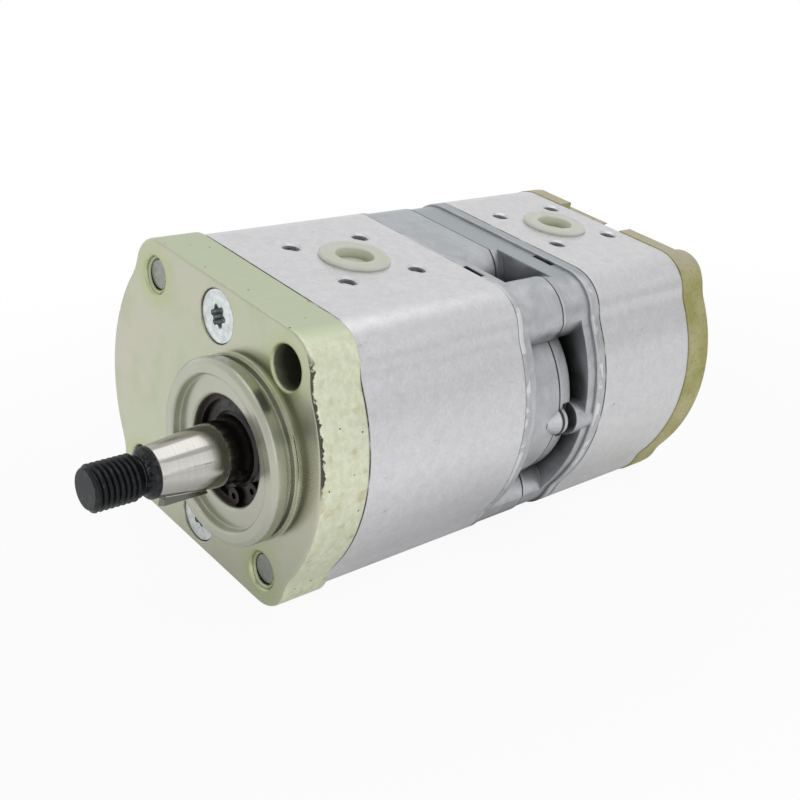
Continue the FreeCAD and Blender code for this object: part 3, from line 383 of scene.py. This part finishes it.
def cast_aluminium():
    """Die-cast aluminium as it leaves the die: mid grey with soft darker swirls and a fine skin,
    rounded edges, painted highlights here and there along the rims, a dark groove where the two
    castings meet with a painted highlight on the rear one's edge beside it, darker tops, and painted
    shade in the hollows."""
    finish, tree, place = new_finish("die_cast_aluminium")
    along = add(tree, "SeparateXYZ", {0: place}, "Y")
    level = add(tree, "SeparateXYZ", {0: add(tree, "TexCoord", output="Normal")}, "Z")
    swirl = add(
        tree, "TexNoise",
        {"Vector": place, "Scale": PER_MM / 6, "Detail": 3.0, "Distortion": 0.8},
    )
    swirl = add(tree, "MapRange", {"Value": swirl, "From Min": 0.35, "From Max": 0.65})
    colour = add(
        tree, "Mix", {0: swirl, 6: linear("b9bbbe"), 7: linear("cccdd0")}, 2, data_type="RGBA",
    )
    skin = add(
        tree, "TexNoise", {"Vector": place, "Scale": PER_MM / 0.8, "Detail": 4.0, "Roughness": 0.6},
    )
    specks = add(tree, "MapRange", {"Value": skin, "From Min": 0.55, "From Max": 0.75, "To Max": 0.3})
    colour = add(tree, "Mix", {0: specks, 6: colour, 7: linear("86888b")}, 2, data_type="RGBA")

    # Upward faces darker, more so on the rear casting
    rear = add(
        tree, "MapRange",
        {"Value": along, "From Min": SPLIT * MM, "From Max": (SPLIT + 0.4) * MM, "To Min": 0.4},
    )
    top = add(tree, "MapRange", {"Value": level, "From Min": 0.9, "From Max": 0.99, "To Max": 0.75})
    darkening = add(tree, "Math", {0: rear, 1: top}, operation="MULTIPLY")
    colour = add(tree, "Mix", {0: darkening, 6: colour, 7: linear("a1a9ab")}, 2, data_type="RGBA")

    # Painted highlights in patches on both rims, on their upright faces
    front_rim = distance_from(tree, along, JOINTS[1] + 0.9)
    rear_rim = distance_from(tree, along, JOINTS[2] - 2.4)
    rims = add(tree, "Math", {0: front_rim, 1: rear_rim}, operation="MINIMUM")
    rims = add(tree, "MapRange", {"Value": rims, "From Min": 1.1 * MM, "From Max": 0.7 * MM})
    patches = add(
        tree, "TexNoise", {"Vector": place, "Scale": PER_MM / 7, "Detail": 4.0, "Roughness": 0.55},
    )
    patches = add(tree, "MapRange", {"Value": patches, "From Min": 0.5, "From Max": 0.55})
    rim_highlight = add(tree, "Math", {0: rims, 1: patches}, operation="MULTIPLY")
    upright = add(tree, "MapRange", {"Value": level, "From Min": 0.9, "From Max": 0.7, "To Max": 0.95})
    rim_highlight = add(tree, "Math", {0: rim_highlight, 1: upright}, operation="MULTIPLY")
    colour = add(tree, "Mix", {0: rim_highlight, 6: colour, 7: linear("e6e7e8")}, 2, data_type="RGBA")

    # Groove between the castings, with a painted highlight on the rear one's edge beside it
    edge_highlight = distance_from(tree, along, SPLIT + 0.95)
    edge_highlight = add(
        tree, "MapRange", {"Value": edge_highlight, "From Min": 0.45 * MM, "From Max": 0.25 * MM},
    )
    edge_highlight = add(tree, "Math", {0: edge_highlight, 1: upright}, operation="MULTIPLY")
    colour = add(tree, "Mix", {0: edge_highlight, 6: colour, 7: linear("d2d3d5")}, 2, data_type="RGBA")
    groove = distance_from(tree, along, SPLIT)
    groove = add(
        tree, "MapRange", {"Value": groove, "From Min": 0.55 * MM, "From Max": 0.35 * MM},
    )
    colour = add(tree, "Mix", {0: groove, 6: colour, 7: linear("515356")}, 2, data_type="RGBA")

    # Painted shade in the hollows
    open_share = add(tree, "AmbientOcclusion", {"Distance": 9 * MM}, "AO", samples=8)
    hollow_shade = add(
        tree, "MapRange",
        {"Value": open_share, "From Min": 0.95, "From Max": 0.14, "To Max": 0.94},
    )
    colour = add(tree, "Mix", {0: hollow_shade, 6: colour, 7: linear("444648")}, 2, data_type="RGBA")

    rounded = add(tree, "Bevel", {"Radius": 0.55 * MM}, samples=4)
    waves = add(tree, "TexNoise", {"Vector": place, "Scale": PER_MM / 3.5, "Detail": 2.0})
    normal = add(
        tree, "Bump",
        {"Height": waves, "Distance": 0.08 * MM, "Strength": 1.0, "Normal": rounded},
    )
    normal = add(
        tree, "Bump", {"Height": skin, "Distance": 0.02 * MM, "Strength": 1.0, "Normal": normal},
    )
    sunk = add(tree, "Math", {0: groove, 1: -1.0}, operation="MULTIPLY")
    normal = add(
        tree, "Bump", {"Height": sunk, "Distance": 0.3 * MM, "Strength": 1.0, "Normal": normal},
    )
    rough = add(tree, "MapRange", {"Value": swirl, "To Min": 0.36, "To Max": 0.46})
    shader = add(tree, "BsdfPrincipled", {
        "Base Color": colour, "Roughness": rough, "Normal": normal, "Metallic": 0.92,
    })
    add(tree, "OutputMaterial", {"Surface": shader})
    return finish


def chromated_iron():
    """Cast iron with a thick yellow chromate film: olive, a sandy skin, darker in its hollows
    and a lighter grey brown on its upward faces."""
    finish, tree, place = new_finish("yellow_chromated_cast_iron")
    patches = add(tree, "TexNoise", {"Vector": place, "Scale": PER_MM / 10, "Detail": 4.0})
    patches = add(tree, "MapRange", {"Value": patches, "From Min": 0.35, "From Max": 0.65})
    colour = add(
        tree, "Mix", {0: patches, 6: linear("aeab6d"), 7: linear("c2bd90")}, 2, data_type="RGBA",
    )
    sand = add(tree, "TexNoise", {"Vector": place, "Scale": PER_MM / 1.1, "Detail": 3.0})
    hollow = add(tree, "MapRange", {"Value": sand, "From Min": 0.55, "From Max": 0.75, "To Max": 0.35})
    colour = add(tree, "Mix", {0: hollow, 6: colour, 7: linear("6c6a3c")}, 2, data_type="RGBA")

    level = add(tree, "SeparateXYZ", {0: add(tree, "TexCoord", output="Normal")}, "Z")
    # Lighter, greyer brown on the upward faces
    other_tone = add(tree, "MapRange", {"Value": level, "From Min": 0.55, "From Max": 0.9, "To Max": 0.75})
    colour = add(tree, "Mix", {0: other_tone, 6: colour, 7: linear("bdb7a3")}, 2, data_type="RGBA")

    rounded = add(tree, "Bevel", {"Radius": 1.1 * MM}, samples=4)
    normal = add(
        tree, "Bump", {"Height": sand, "Distance": 0.07 * MM, "Strength": 1.0, "Normal": rounded},
    )
    rough = add(
        tree, "MapRange",
        {"Value": sand, "From Min": 0.3, "From Max": 0.7, "To Min": 0.42, "To Max": 0.6},
    )
    shader = add(tree, "BsdfPrincipled", {
        "Base Color": colour, "Roughness": rough, "Normal": normal, "Metallic": 0.75,
    })
    add(tree, "OutputMaterial", {"Surface": shader})
    return finish


def hardened_steel():
    """Ground shaft steel with faint rings round the shaft, a few rust specks on the taper, a darker
    key, an oily film towards the seal, and black oxide on the collar, neck and thread."""
    finish, tree, place = new_finish("ground_and_blackened_shaft_steel")
    rings = add(tree, "Mapping", {"Vector": place, "Scale": (0.02, 1, 0.02)})
    rings = add(
        tree, "TexNoise", {"Vector": rings, "Scale": PER_MM / 0.5, "Detail": 4.0, "Roughness": 0.7},
    )
    tone = add(tree, "MapRange", {"Value": rings, "From Min": 0.3, "From Max": 0.7})
    steel = add(
        tree, "Mix", {0: tone, 6: linear("b4b2ad"), 7: linear("bfbdb8")}, 2, data_type="RGBA",
    )
    specks = add(
        tree, "TexNoise", {"Vector": place, "Scale": PER_MM / 1.2, "Detail": 5.0, "Roughness": 0.7},
    )
    specks = add(tree, "MapRange", {"Value": specks, "From Min": 0.64, "From Max": 0.7, "To Max": 0.8})
    steel = add(tree, "Mix", {0: specks, 6: steel, 7: linear("6b4a38")}, 2, data_type="RGBA")

    # The key, which stands out above the taper
    along = add(tree, "SeparateXYZ", {0: place}, "Y")
    flat = add(tree, "VectorMath", {0: place, 1: (1, 0, 1)}, operation="MULTIPLY")
    reach = add(tree, "VectorMath", {0: flat}, "Value", operation="LENGTH")
    cone = add(tree, "Math", {0: along, 1: -TAPER_SLOPE, 2: reach}, operation="MULTIPLY_ADD")
    above = add(
        tree, "MapRange",
        {"Value": cone, "From Min": (TAPER_AT_FACE + 0.1) * MM, "From Max": (TAPER_AT_FACE + 0.2) * MM},
    )
    outside = add(tree, "MapRange", {"Value": along, "From Min": 0.0, "From Max": -1 * MM})
    above = add(tree, "Math", {0: above, 1: outside}, operation="MULTIPLY")
    steel = add(tree, "Mix", {0: above, 6: steel, 7: linear("6f6f69")}, 2, data_type="RGBA")

    # Oil towards the seal, and black oxide from the collar to the tip
    oily = add(
        tree, "MapRange",
        {"Value": along, "From Min": -15 * MM, "From Max": -5 * MM, "To Max": 0.75},
    )
    steel = add(tree, "Mix", {0: oily, 6: steel, 7: linear("55564c")}, 2, data_type="RGBA")
    oxide = add(
        tree, "MapRange",
        {"Value": along, "From Min": (BLACK_END + 0.15) * MM, "From Max": (BLACK_END - 0.15) * MM},
    )
    # Patches where the black oxide is worn are a little lighter
    other_tone = add(tree, "TexNoise", {"Vector": place, "Scale": PER_MM / 1.5, "Detail": 4.0})
    other_tone = add(tree, "MapRange", {"Value": other_tone, "From Min": 0.55, "From Max": 0.75})
    black = add(
        tree, "Mix", {0: other_tone, 6: linear("323435"), 7: linear("494a4b")}, 2, data_type="RGBA",
    )
    colour = add(tree, "Mix", {0: oxide, 6: steel, 7: black}, 2, data_type="RGBA")

    rough = add(tree, "MapRange", {"Value": oxide, "To Min": 0.15, "To Max": 0.42})
    normal = add(tree, "Bump", {"Height": rings, "Distance": 0.0005 * MM, "Strength": 1.0})
    shader = add(tree, "BsdfPrincipled", {
        "Base Color": colour, "Roughness": rough, "Normal": normal, "Metallic": 0.96,
    })
    add(tree, "OutputMaterial", {"Surface": shader})
    return finish


def plain_metal(name, low, high, roughness, metallic=1.0, size_mm=1.5, oily=0.0):
    """A metal whose colour drifts between two tones in patches of a given size, as plating,
    phosphate, bronze and turned aluminium do, with painted shade in the recesses. Fasteners in the
    housing's corners can be oily and darker."""
    finish, tree, place = new_finish(name)
    marks = add(tree, "TexNoise", {"Vector": place, "Scale": PER_MM / size_mm, "Detail": 4.0})
    marks = add(tree, "MapRange", {"Value": marks, "From Min": 0.38, "From Max": 0.68})
    colour = add(
        tree, "Mix", {0: marks, 6: linear(low), 7: linear(high)}, 2, data_type="RGBA",
    )
    # Painted shade in the recesses
    open_share = add(tree, "AmbientOcclusion", {"Distance": 5 * MM}, "AO", samples=8)
    darker_share = add(
        tree, "MapRange", {"Value": open_share, "From Min": 0.6, "From Max": 0.15, "To Max": 0.5},
    )
    colour = add(tree, "Mix", {0: darker_share, 6: colour, 7: linear("3a3a34")}, 2, data_type="RGBA")
    aside = distance_from(tree, add(tree, "SeparateXYZ", {0: place}, "X"), MIDDLE_X)
    outer = add(
        tree, "MapRange",
        {"Value": aside, "From Min": (HOLE_HALF - 7) * MM, "From Max": (HOLE_HALF - 6) * MM,
         "To Max": oily},
    )
    colour = add(tree, "Mix", {0: outer, 6: colour, 7: linear("75776f")}, 2, data_type="RGBA")
    rough = add(
        tree, "MapRange", {"Value": marks, "To Min": roughness - 0.05, "To Max": roughness + 0.06},
    )
    grit = add(tree, "TexNoise", {"Vector": place, "Scale": PER_MM / 0.5, "Detail": 3.0})
    normal = add(tree, "Bump", {"Height": grit, "Distance": 0.008 * MM, "Strength": 1.0})
    shader = add(tree, "BsdfPrincipled", {
        "Base Color": colour, "Roughness": rough, "Normal": normal, "Metallic": metallic,
    })
    add(tree, "OutputMaterial", {"Surface": shader})
    return finish


def seal_rubber():
    """Moulded nitrile rubber, nearly black with a brown cast, wet with a little oil."""
    finish, tree, place = new_finish("moulded_nitrile_rubber")
    bloom = add(tree, "TexNoise", {"Vector": place, "Scale": PER_MM / 2, "Detail": 4.0})
    bloom = add(tree, "MapRange", {"Value": bloom, "From Min": 0.4, "From Max": 0.7})
    colour = add(
        tree, "Mix", {0: bloom, 6: linear("181413"), 7: linear("27201d")}, 2, data_type="RGBA",
    )
    rough = add(tree, "MapRange", {"Value": bloom, "To Min": 0.3, "To Max": 0.55})
    grit = add(tree, "TexNoise", {"Vector": place, "Scale": PER_MM / 0.5, "Detail": 3.0})
    normal = add(tree, "Bump", {"Height": grit, "Distance": 0.01 * MM, "Strength": 1.0})
    shader = add(tree, "BsdfPrincipled", {
        "Base Color": colour, "Roughness": rough, "Normal": normal, "IOR": 1.52,
    })
    add(tree, "OutputMaterial", {"Surface": shader})
    return finish


def plug_plastic():
    """Natural low-density polyethylene, injection moulded: milky, slightly green, waxy and a little
    translucent, with painted shade in its hollow."""
    finish, tree, place = new_finish("natural_polyethylene")
    milk = add(tree, "TexNoise", {"Vector": place, "Scale": PER_MM / 6, "Detail": 2.0})
    milk = add(tree, "MapRange", {"Value": milk, "From Min": 0.35, "From Max": 0.65})
    colour = add(
        tree, "Mix", {0: milk, 6: linear("f0f3da"), 7: linear("f6f8ea")}, 2, data_type="RGBA",
    )
    # Painted shade in the plug's hollow
    open_share = add(tree, "AmbientOcclusion", {"Distance": 8 * MM}, "AO", samples=8)
    depth = add(
        tree, "MapRange", {"Value": open_share, "From Min": 0.55, "From Max": 0.2, "To Max": 0.8},
    )
    colour = add(tree, "Mix", {0: depth, 6: colour, 7: linear("63655f")}, 2, data_type="RGBA")
    skin = add(tree, "TexNoise", {"Vector": place, "Scale": PER_MM / 0.8, "Detail": 2.0})
    normal = add(tree, "Bump", {"Height": skin, "Distance": 0.008 * MM, "Strength": 1.0})
    shader = add(tree, "BsdfPrincipled", {
        "Base Color": colour, "Normal": normal, "IOR": 1.51, "Roughness": 0.38,
        "Transmission Weight": 0.06, "Subsurface Weight": 0.5, "Subsurface Scale": 3.0 * MM,
        "Subsurface Radius": (1.0, 1.0, 0.85),
    })
    add(tree, "OutputMaterial", {"Surface": shader})
    return finish


finishes = {
    "chromated_steel": chromated_steel(),
    "extruded_aluminium": extruded_aluminium(),
    "cast_aluminium": cast_aluminium(),
    "chromated_iron": chromated_iron(),
    "hardened_steel": hardened_steel(),
    "zinc_screws": plain_metal("bright_zinc_on_steel", "e0e5e5", "c6cccb", 0.3, 1.0, 1.8, 0.75),
    "spring_steel": plain_metal("phosphated_spring_steel", "241f1e", "3b312e", 0.36, 0.8),
    "seal_rubber": seal_rubber(),
    "bearing_lining": plain_metal("leaded_bronze_lining", "8d7b5a", "a08c66", 0.42),
    "bearing_aluminium": plain_metal("turned_aluminium", "b6b7b9", "c8c8ca", 0.32),
    "plug_plastic": plug_plastic(),
}
for part in frame["record"]["subparts"]:
    mesh = frame["nodes"][part["node"]].data
    mesh.materials.clear()
    mesh.materials.append(finishes[part["material_slot"]])


def dress(piece, name, slot, body):
    """Names a finished piece, gives it its finish and lets it ride with its body."""
    piece.name = name
    piece.data.name = name
    piece.data.materials.clear()
    piece.data.materials.append(finishes[slot])
    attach(piece, body)


# Threads

def face_outwards(piece):
    """Merges doubled points and turns every face outwards."""
    select_only(piece)
    bpy.ops.object.mode_set(mode="EDIT")
    bpy.ops.mesh.select_all(action="SELECT")
    bpy.ops.mesh.remove_doubles(threshold=0.001 * MM)
    bpy.ops.mesh.normals_make_consistent(inside=False)
    bpy.ops.object.mode_set(mode="OBJECT")


def cut_across(piece, place, keep_above):
    """Cuts a piece across the Y axis, keeps the part above or below the cut and closes it."""
    select_only(piece)
    bpy.ops.object.mode_set(mode="EDIT")
    bpy.ops.mesh.select_all(action="SELECT")
    bpy.ops.mesh.bisect(
        plane_co=(0, place * MM, 0), plane_no=(0, 1, 0), threshold=CUT_THRESHOLD * MM,
        use_fill=True, clear_inner=keep_above, clear_outer=not keep_above,
    )
    bpy.ops.object.mode_set(mode="OBJECT")


def profile_strip(points):
    """An open chain of edges in the XY plane, from a plane cut down to one edge and subdivided."""
    bpy.ops.object.select_all(action="DESELECT")
    bpy.ops.mesh.primitive_plane_add(size=1.0)
    strip = bpy.context.active_object
    bpy.ops.object.mode_set(mode="EDIT")
    bpy.ops.mesh.delete(type="ONLY_FACE")
    bpy.ops.mesh.select_all(action="DESELECT")
    bpy.ops.object.mode_set(mode="OBJECT")
    for vertex in strip.data.vertices:
        vertex.select = vertex.co.x > 0
    bpy.ops.object.mode_set(mode="EDIT")
    bpy.ops.mesh.delete(type="VERT")
    bpy.ops.mesh.select_all(action="SELECT")
    bpy.ops.mesh.subdivide(number_cuts=len(points) - 2)
    bpy.ops.object.mode_set(mode="OBJECT")
    ordered = sorted(strip.data.vertices, key=lambda vertex: vertex.co.y)
    for vertex, (radius, place) in zip(ordered, points):
        vertex.co = (radius * MM, place * MM, 0)
    return strip


def wind(piece, pitch, turns, steps):
    """Winds an outline round the Y axis as a thread."""
    apply_modifier(
        piece, "SCREW", axis="Y", screw_offset=pitch * MM, iterations=turns,
        steps=steps, render_steps=steps, use_merge_vertices=True, merge_threshold=0.002 * MM,
    )


def threaded_end():
    """The shaft's thread: V grooves with rounded roots and crests, chamfered at the tip, that
    runs out into the neck. Its end sits inside the shaft's neck, ready to be joined to it."""
    root = THREAD_RADIUS - THREAD_DEPTH
    flank_foot = root + 0.12
    flank_top = THREAD_RADIUS - 0.1
    share_radius = (
        (0.0, root), (0.1, root), (0.2, flank_foot), (0.4, flank_top), (0.46, THREAD_RADIUS),
        (0.54, THREAD_RADIUS), (0.6, flank_top), (0.8, flank_foot), (0.9, root), (1.0, root),
    )
    overlap = 0.4
    clearance = 0.2
    run_out = NECK_CUT - 0.5
    first = THREAD_START - 2 * THREAD_PITCH
    points = [(radius, first + share * THREAD_PITCH) for share, radius in share_radius]
    turns = math.ceil((NECK_CUT - THREAD_START) / THREAD_PITCH) + 4
    thread = profile_strip(points)
    wind(thread, THREAD_PITCH, turns, 64)
    face_outwards(thread)
    cut_across(thread, THREAD_START, True)
    cut_across(thread, NECK_CUT + overlap, False)
    for vertex in thread.data.vertices:
        place = vertex.co.y / MM
        radius = math.hypot(vertex.co.x, vertex.co.z) / MM
        at_tip = THREAD_RADIUS - TIP_CHAMFER + (place - THREAD_START)
        at_neck = NECK_RADIUS - clearance + max(0.0, run_out - place)
        limit = min(at_tip, at_neck)
        if radius > limit:
            vertex.co.x *= limit / radius
            vertex.co.z *= limit / radius
    face_outwards(thread)
    return thread


def threaded_shaft():
    """The CAD shaft with its plain end exchanged for the threaded one."""
    shaft = frame["nodes"]["drive_shaft"].copy()
    shaft.data = shaft.data.copy()
    shaft.parent = None
    # The copy is a piece of its own, so it drops the labels of the CAD node
    for key in list(shaft.keys()):
        del shaft[key]
    bpy.context.scene.collection.objects.link(shaft)
    face_outwards(shaft)
    cut_across(shaft, NECK_CUT, True)
    select_only(shaft)
    bpy.ops.object.mode_set(mode="EDIT")
    for place in SHADING_CUTS:
        bpy.ops.mesh.select_all(action="SELECT")
        bpy.ops.mesh.bisect(
            plane_co=(0, place * MM, 0), plane_no=(0, 1, 0), threshold=CUT_THRESHOLD * MM,
        )
    bpy.ops.object.mode_set(mode="OBJECT")
    thread = threaded_end()
    apply_modifier(shaft, "BOOLEAN", operation="UNION", solver="EXACT", object=thread)
    bpy.data.objects.remove(thread)
    face_outwards(shaft)
    shade_smooth(shaft, 15)
    dress(shaft, "threaded_drive_shaft", "hardened_steel", "drive_shaft")
    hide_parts("drive_shaft")


def hole_thread(radius, pitch, turns):
    """The ridge of an internal thread, wound along Y, with its foot inside the wall of the hole."""
    foot = 0.1
    depth = 0.54 * pitch
    bpy.ops.object.select_all(action="DESELECT")
    bpy.ops.mesh.primitive_plane_add(size=1.0)
    ridge = bpy.context.active_object
    bpy.ops.transform.resize(value=((depth + foot) * MM, 0.84 * pitch * MM, 1))
    bpy.ops.transform.translate(value=((radius + foot - (depth + foot) / 2) * MM, 0, 0))
    bpy.ops.object.transform_apply(location=True, rotation=False, scale=True)
    crest = [vertex.index for vertex in ridge.data.vertices if vertex.co.x < (radius - foot) * MM]
    bpy.ops.object.mode_set(mode="EDIT")
    bpy.ops.mesh.delete(type="ONLY_FACE")
    bpy.ops.mesh.select_all(action="DESELECT")
    bpy.ops.object.mode_set(mode="OBJECT")
    for index in crest:
        ridge.data.vertices[index].select = True
    bpy.ops.object.mode_set(mode="EDIT")
    bpy.ops.transform.resize(value=(1, 0.15, 1), center_override=(0, 0, 0))
    bpy.ops.object.mode_set(mode="OBJECT")
    wind(ridge, pitch, turns, 40)
    select_only(ridge)
    bpy.ops.object.mode_set(mode="EDIT")
    bpy.ops.mesh.select_all(action="SELECT")
    bpy.ops.mesh.fill_holes(sides=4)
    bpy.ops.object.mode_set(mode="OBJECT")
    face_outwards(ridge)
    return ridge


def set_copies(pattern, places, turn, name, slot):
    """Copies a piece to several places, turned about X first, joins the copies and dresses them."""
    copies = []
    for place in places:
        piece = pattern.copy()
        piece.data = pattern.data.copy()
        bpy.context.scene.collection.objects.link(piece)
        piece.rotation_euler = (turn, 0, 0)
        piece.location = [value * MM for value in place]
        copies.append(piece)
    bpy.ops.object.select_all(action="DESELECT")
    for piece in copies:
        piece.select_set(True)
    bpy.context.view_layer.objects.active = copies[0]
    bpy.ops.object.transform_apply(location=True, rotation=True, scale=True)
    bpy.ops.object.join()
    group = bpy.context.active_object
    shade_smooth(group, 35)
    dress(group, name, slot, "housing")


def port_threads():
    """M6 threads in the sixteen screw holes round the ports, each wound upwards from its low end."""
    ridge = hole_thread(PORT_SCREW_RADIUS, pitch=1.0, turns=9)
    below_top = 10.6
    above_underside = 0.7
    corners = [(a, b) for a in (-1, 1) for b in (-1, 1)]
    for name, half, low in (
        ("outlet", OUTLET_HALF, BODY_HALF_HEIGHT - below_top),
        ("inlet", INLET_HALF, above_underside - BODY_HALF_HEIGHT),
    ):
        places = [
            (PORT_X + a * half, port + b * half, low) for port in PORT_PLACES for a, b in corners
        ]
        set_copies(ridge, places, math.radians(90), name + "_screw_threads", "extruded_aluminium")
    bpy.data.objects.remove(ridge)


def tie_bolt_threads():
    """The last turn of the threads that the tie bolts' ends sit in, at the flange and the cover."""
    ridge = hole_thread(TIE_HOLE_RADIUS, pitch=1.5, turns=1)
    behind_face = 0.75
    before_pad_end = 2.3
    for name, slot, start in (
        ("flange_tie_threads", "chromated_steel", behind_face),
        ("cover_tie_threads", "chromated_iron", COVER_PAD_END - before_pad_end),
    ):
        places = [
            (MIDDLE_X - HOLE_HALF, start, HOLE_HALF), (MIDDLE_X + HOLE_HALF, start, -HOLE_HALF),
        ]
        set_copies(ridge, places, 0.0, name, slot)
    bpy.data.objects.remove(ridge)


def flange_burr():
    """Torn chips along the sawn front edge of the flange's bulging right side. Their angles are
    counted up from level, round the middle of the housing."""
    chance = random.Random(7)
    count = 60
    first_angle = 5
    angle_span = 26
    chips = []
    for number in range(count):
        angle = math.radians(first_angle + angle_span * (number + chance.random()) / count)
        bpy.ops.object.select_all(action="DESELECT")
        bpy.ops.mesh.primitive_ico_sphere_add(subdivisions=1, radius=1.0)
        chip = bpy.context.active_object
        size = (0.1 + 0.12 * chance.random(), 0.14 + 0.3 * chance.random(), 0.25 + 0.4 * chance.random())
        for vertex in chip.data.vertices:
            vertex.co *= 0.65 + 0.5 * chance.random()
        chip.scale = [value * MM for value in size]
        chip.rotation_euler = (0.5 * (chance.random() - 0.5), -angle, 0)
        reach = FLANGE_SIDE_RADIUS - 0.12 - 0.2 * chance.random()
        place = (MIDDLE_X + reach * math.cos(angle), 0.5 + 0.5 * chance.random(), reach * math.sin(angle))
        chip.location = [value * MM for value in place]
        chips.append(chip)
    for chip in chips:
        chip.select_set(True)
    bpy.ops.object.transform_apply(location=True, rotation=True, scale=True)
    bpy.ops.object.join()
    dress(bpy.context.active_object, "flange_edge_burr", "chromated_steel", "housing")


threaded_shaft()
port_threads()
tie_bolt_threads()
flange_burr()


# Floor, light and camera

def white_for_the_eye(tree):
    """One for camera, glossy and transmission rays, nought for the rays that light the object."""
    seen = add(tree, "LightPath", output="Is Camera Ray")
    for kind in ("Is Glossy Ray", "Is Transmission Ray"):
        seen = add(tree, "Math", {0: seen, 1: add(tree, "LightPath", output=kind)}, operation="MAXIMUM")
    return seen


def pale_floor():
    """A seamless white sheet that keeps a faint shadow under the pump. In reflections it is
    greyer under the pump, which shades it, and a little greyer behind it."""
    bpy.ops.object.select_all(action="DESELECT")
    bpy.ops.mesh.primitive_plane_add(size=8.0, location=(0, 0, cad_low.z - 0.1 * MM))
    floor = bpy.context.active_object
    floor.name = "floor"
    finish, tree, place = new_finish("white_paper")
    paper = add(tree, "BsdfDiffuse", {"Color": linear("f4f4f4")})
    white = add(tree, "Emission", {"Color": linear("ffffff"), "Strength": 1.0})
    shadow_middle = (0.005, 0.085, 0)
    away = add(tree, "VectorMath", {0: place, 1: shadow_middle}, operation="SUBTRACT")
    away = add(tree, "VectorMath", {0: away, 1: (1, 0.5, 0)}, operation="MULTIPLY")
    away = add(tree, "VectorMath", {0: away}, "Value", operation="LENGTH")
    to_eye = add(
        tree, "MapRange",
        {"Value": away, "From Min": 0.08, "From Max": 0.2, "To Min": 0.93, "To Max": 1.0},
    )
    to_metal = add(
        tree, "MapRange", {"Value": away, "From Min": 0.03, "From Max": 0.088, "To Min": 0.2},
    )
    behind = add(tree, "SeparateXYZ", {0: place}, "Y")
    behind = add(
        tree, "MapRange",
        {"Value": behind, "From Min": 0.14, "From Max": 0.2, "To Min": 1.0, "To Max": 0.7},
    )
    to_metal = add(tree, "Math", {0: to_metal, 1: behind}, operation="MULTIPLY")
    seen = add(tree, "LightPath", output="Is Camera Ray")
    share = add(tree, "Mix", {0: seen, 2: to_metal, 3: to_eye})
    share = add(tree, "Math", {0: share, 1: white_for_the_eye(tree)}, operation="MULTIPLY")
    mixed = add(tree, "MixShader", {0: share, 1: paper, 2: white})
    add(tree, "OutputMaterial", {"Surface": mixed})
    floor.data.materials.append(finish)


def soft_room():
    """World light: white at the horizon and greyer overhead, full strength to the eye and in
    reflections and softer as light on the object."""
    world = bpy.data.worlds.new("soft_room")
    bpy.context.scene.world = world
    world.use_nodes = True
    tree = world.node_tree
    tree.nodes.clear()
    strength = add(tree, "MapRange", {"Value": white_for_the_eye(tree), "To Min": 0.5, "To Max": 1.0})
    upwards = add(tree, "SeparateXYZ", {0: add(tree, "TexCoord", output="Generated")}, "Z")
    upwards = add(tree, "MapRange", {"Value": upwards, "From Min": 0.05, "From Max": 0.6})
    colour = add(
        tree, "Mix", {0: upwards, 6: linear("ffffff"), 7: linear("e2e2e2")}, 2, data_type="RGBA",
    )
    room = add(tree, "Background", {"Color": colour, "Strength": strength})
    add(tree, "OutputWorld", {"Surface": room})


def card(name, place, aim, width, height, shade):
    """A dull card that faces a spot and that only reflections and light see."""
    bpy.ops.object.select_all(action="DESELECT")
    bpy.ops.mesh.primitive_plane_add(size=1.0)
    board = bpy.context.active_object
    board.name = name
    board.scale = (width, height, 1)
    board.location = place
    board.rotation_mode = "QUATERNION"
    board.rotation_quaternion = (Vector(aim) - Vector(place)).to_track_quat("Z", "Y")
    finish, tree, _ = new_finish(name + "_board")
    add(tree, "OutputMaterial", {"Surface": add(tree, "BsdfDiffuse", {"Color": linear(shade)})})
    board.data.materials.append(finish)
    board.visible_camera = False


def soft_box(name, place, aim, width, height, power):
    """A large rectangular lamp that points at a spot."""
    light = bpy.data.lights.new(name, "AREA")
    light.shape = "RECTANGLE"
    light.size = width
    light.size_y = height
    light.energy = power
    lamp = bpy.data.objects.new(name, light)
    bpy.context.scene.collection.objects.link(lamp)
    lamp.location = place
    lamp.rotation_mode = "QUATERNION"
    lamp.rotation_quaternion = (Vector(aim) - Vector(place)).to_track_quat("-Z", "Y")


def photo_camera():
    """Camera at the photograph's angle, fitted to the flange's holes and the housing's edges."""
    azimuth, elevation, roll = (math.radians(angle) for angle in (43.95, 27.08, 9.99))
    aim = Vector((-33.14, 90.19, -23.32)) * MM
    distance = 395.59 * MM
    back = Vector((
        math.sin(azimuth) * math.cos(elevation),
        -math.cos(azimuth) * math.cos(elevation),
        math.sin(elevation),
    ))
    right = Vector((0, 0, 1)).cross(back).normalized()
    up = back.cross(right)
    turned_right = right * math.cos(roll) + up * math.sin(roll)
    turned_up = up * math.cos(roll) - right * math.sin(roll)
    lens = bpy.data.cameras.new("photo_camera")
    lens.sensor_width = 36.0
    lens.lens = 53.25
    lens.clip_start = 0.01
    camera = bpy.data.objects.new("photo_camera", lens)
    bpy.context.scene.collection.objects.link(camera)
    turn = Matrix((turned_right, turned_up, back)).transposed().to_4x4()
    camera.matrix_world = Matrix.Translation(aim + back * distance) @ turn
    bpy.context.scene.camera = camera


# Places here are in metres and lamps' power in watts
pump = (0, 0.06, 0)
pale_floor()
soft_room()
soft_box("light_above", (-0.15, 0.2, 0.9), pump, 0.8, 0.8, power=2.0)
soft_box("light_right", (0.8, 0.0, 0.5), pump, 0.8, 0.8, power=1.0)
card("table_edge", (0.38, 0.44, 0.13), (0, 0.06, 0.1), 0.7, 0.045, "4a4a4a")
card("camera_back", (0.24, -0.21, 0.18), (0, 0.03, 0), 0.14, 0.1, "303030")
photo_camera()
bpy.context.scene.view_settings.view_transform = "Standard"
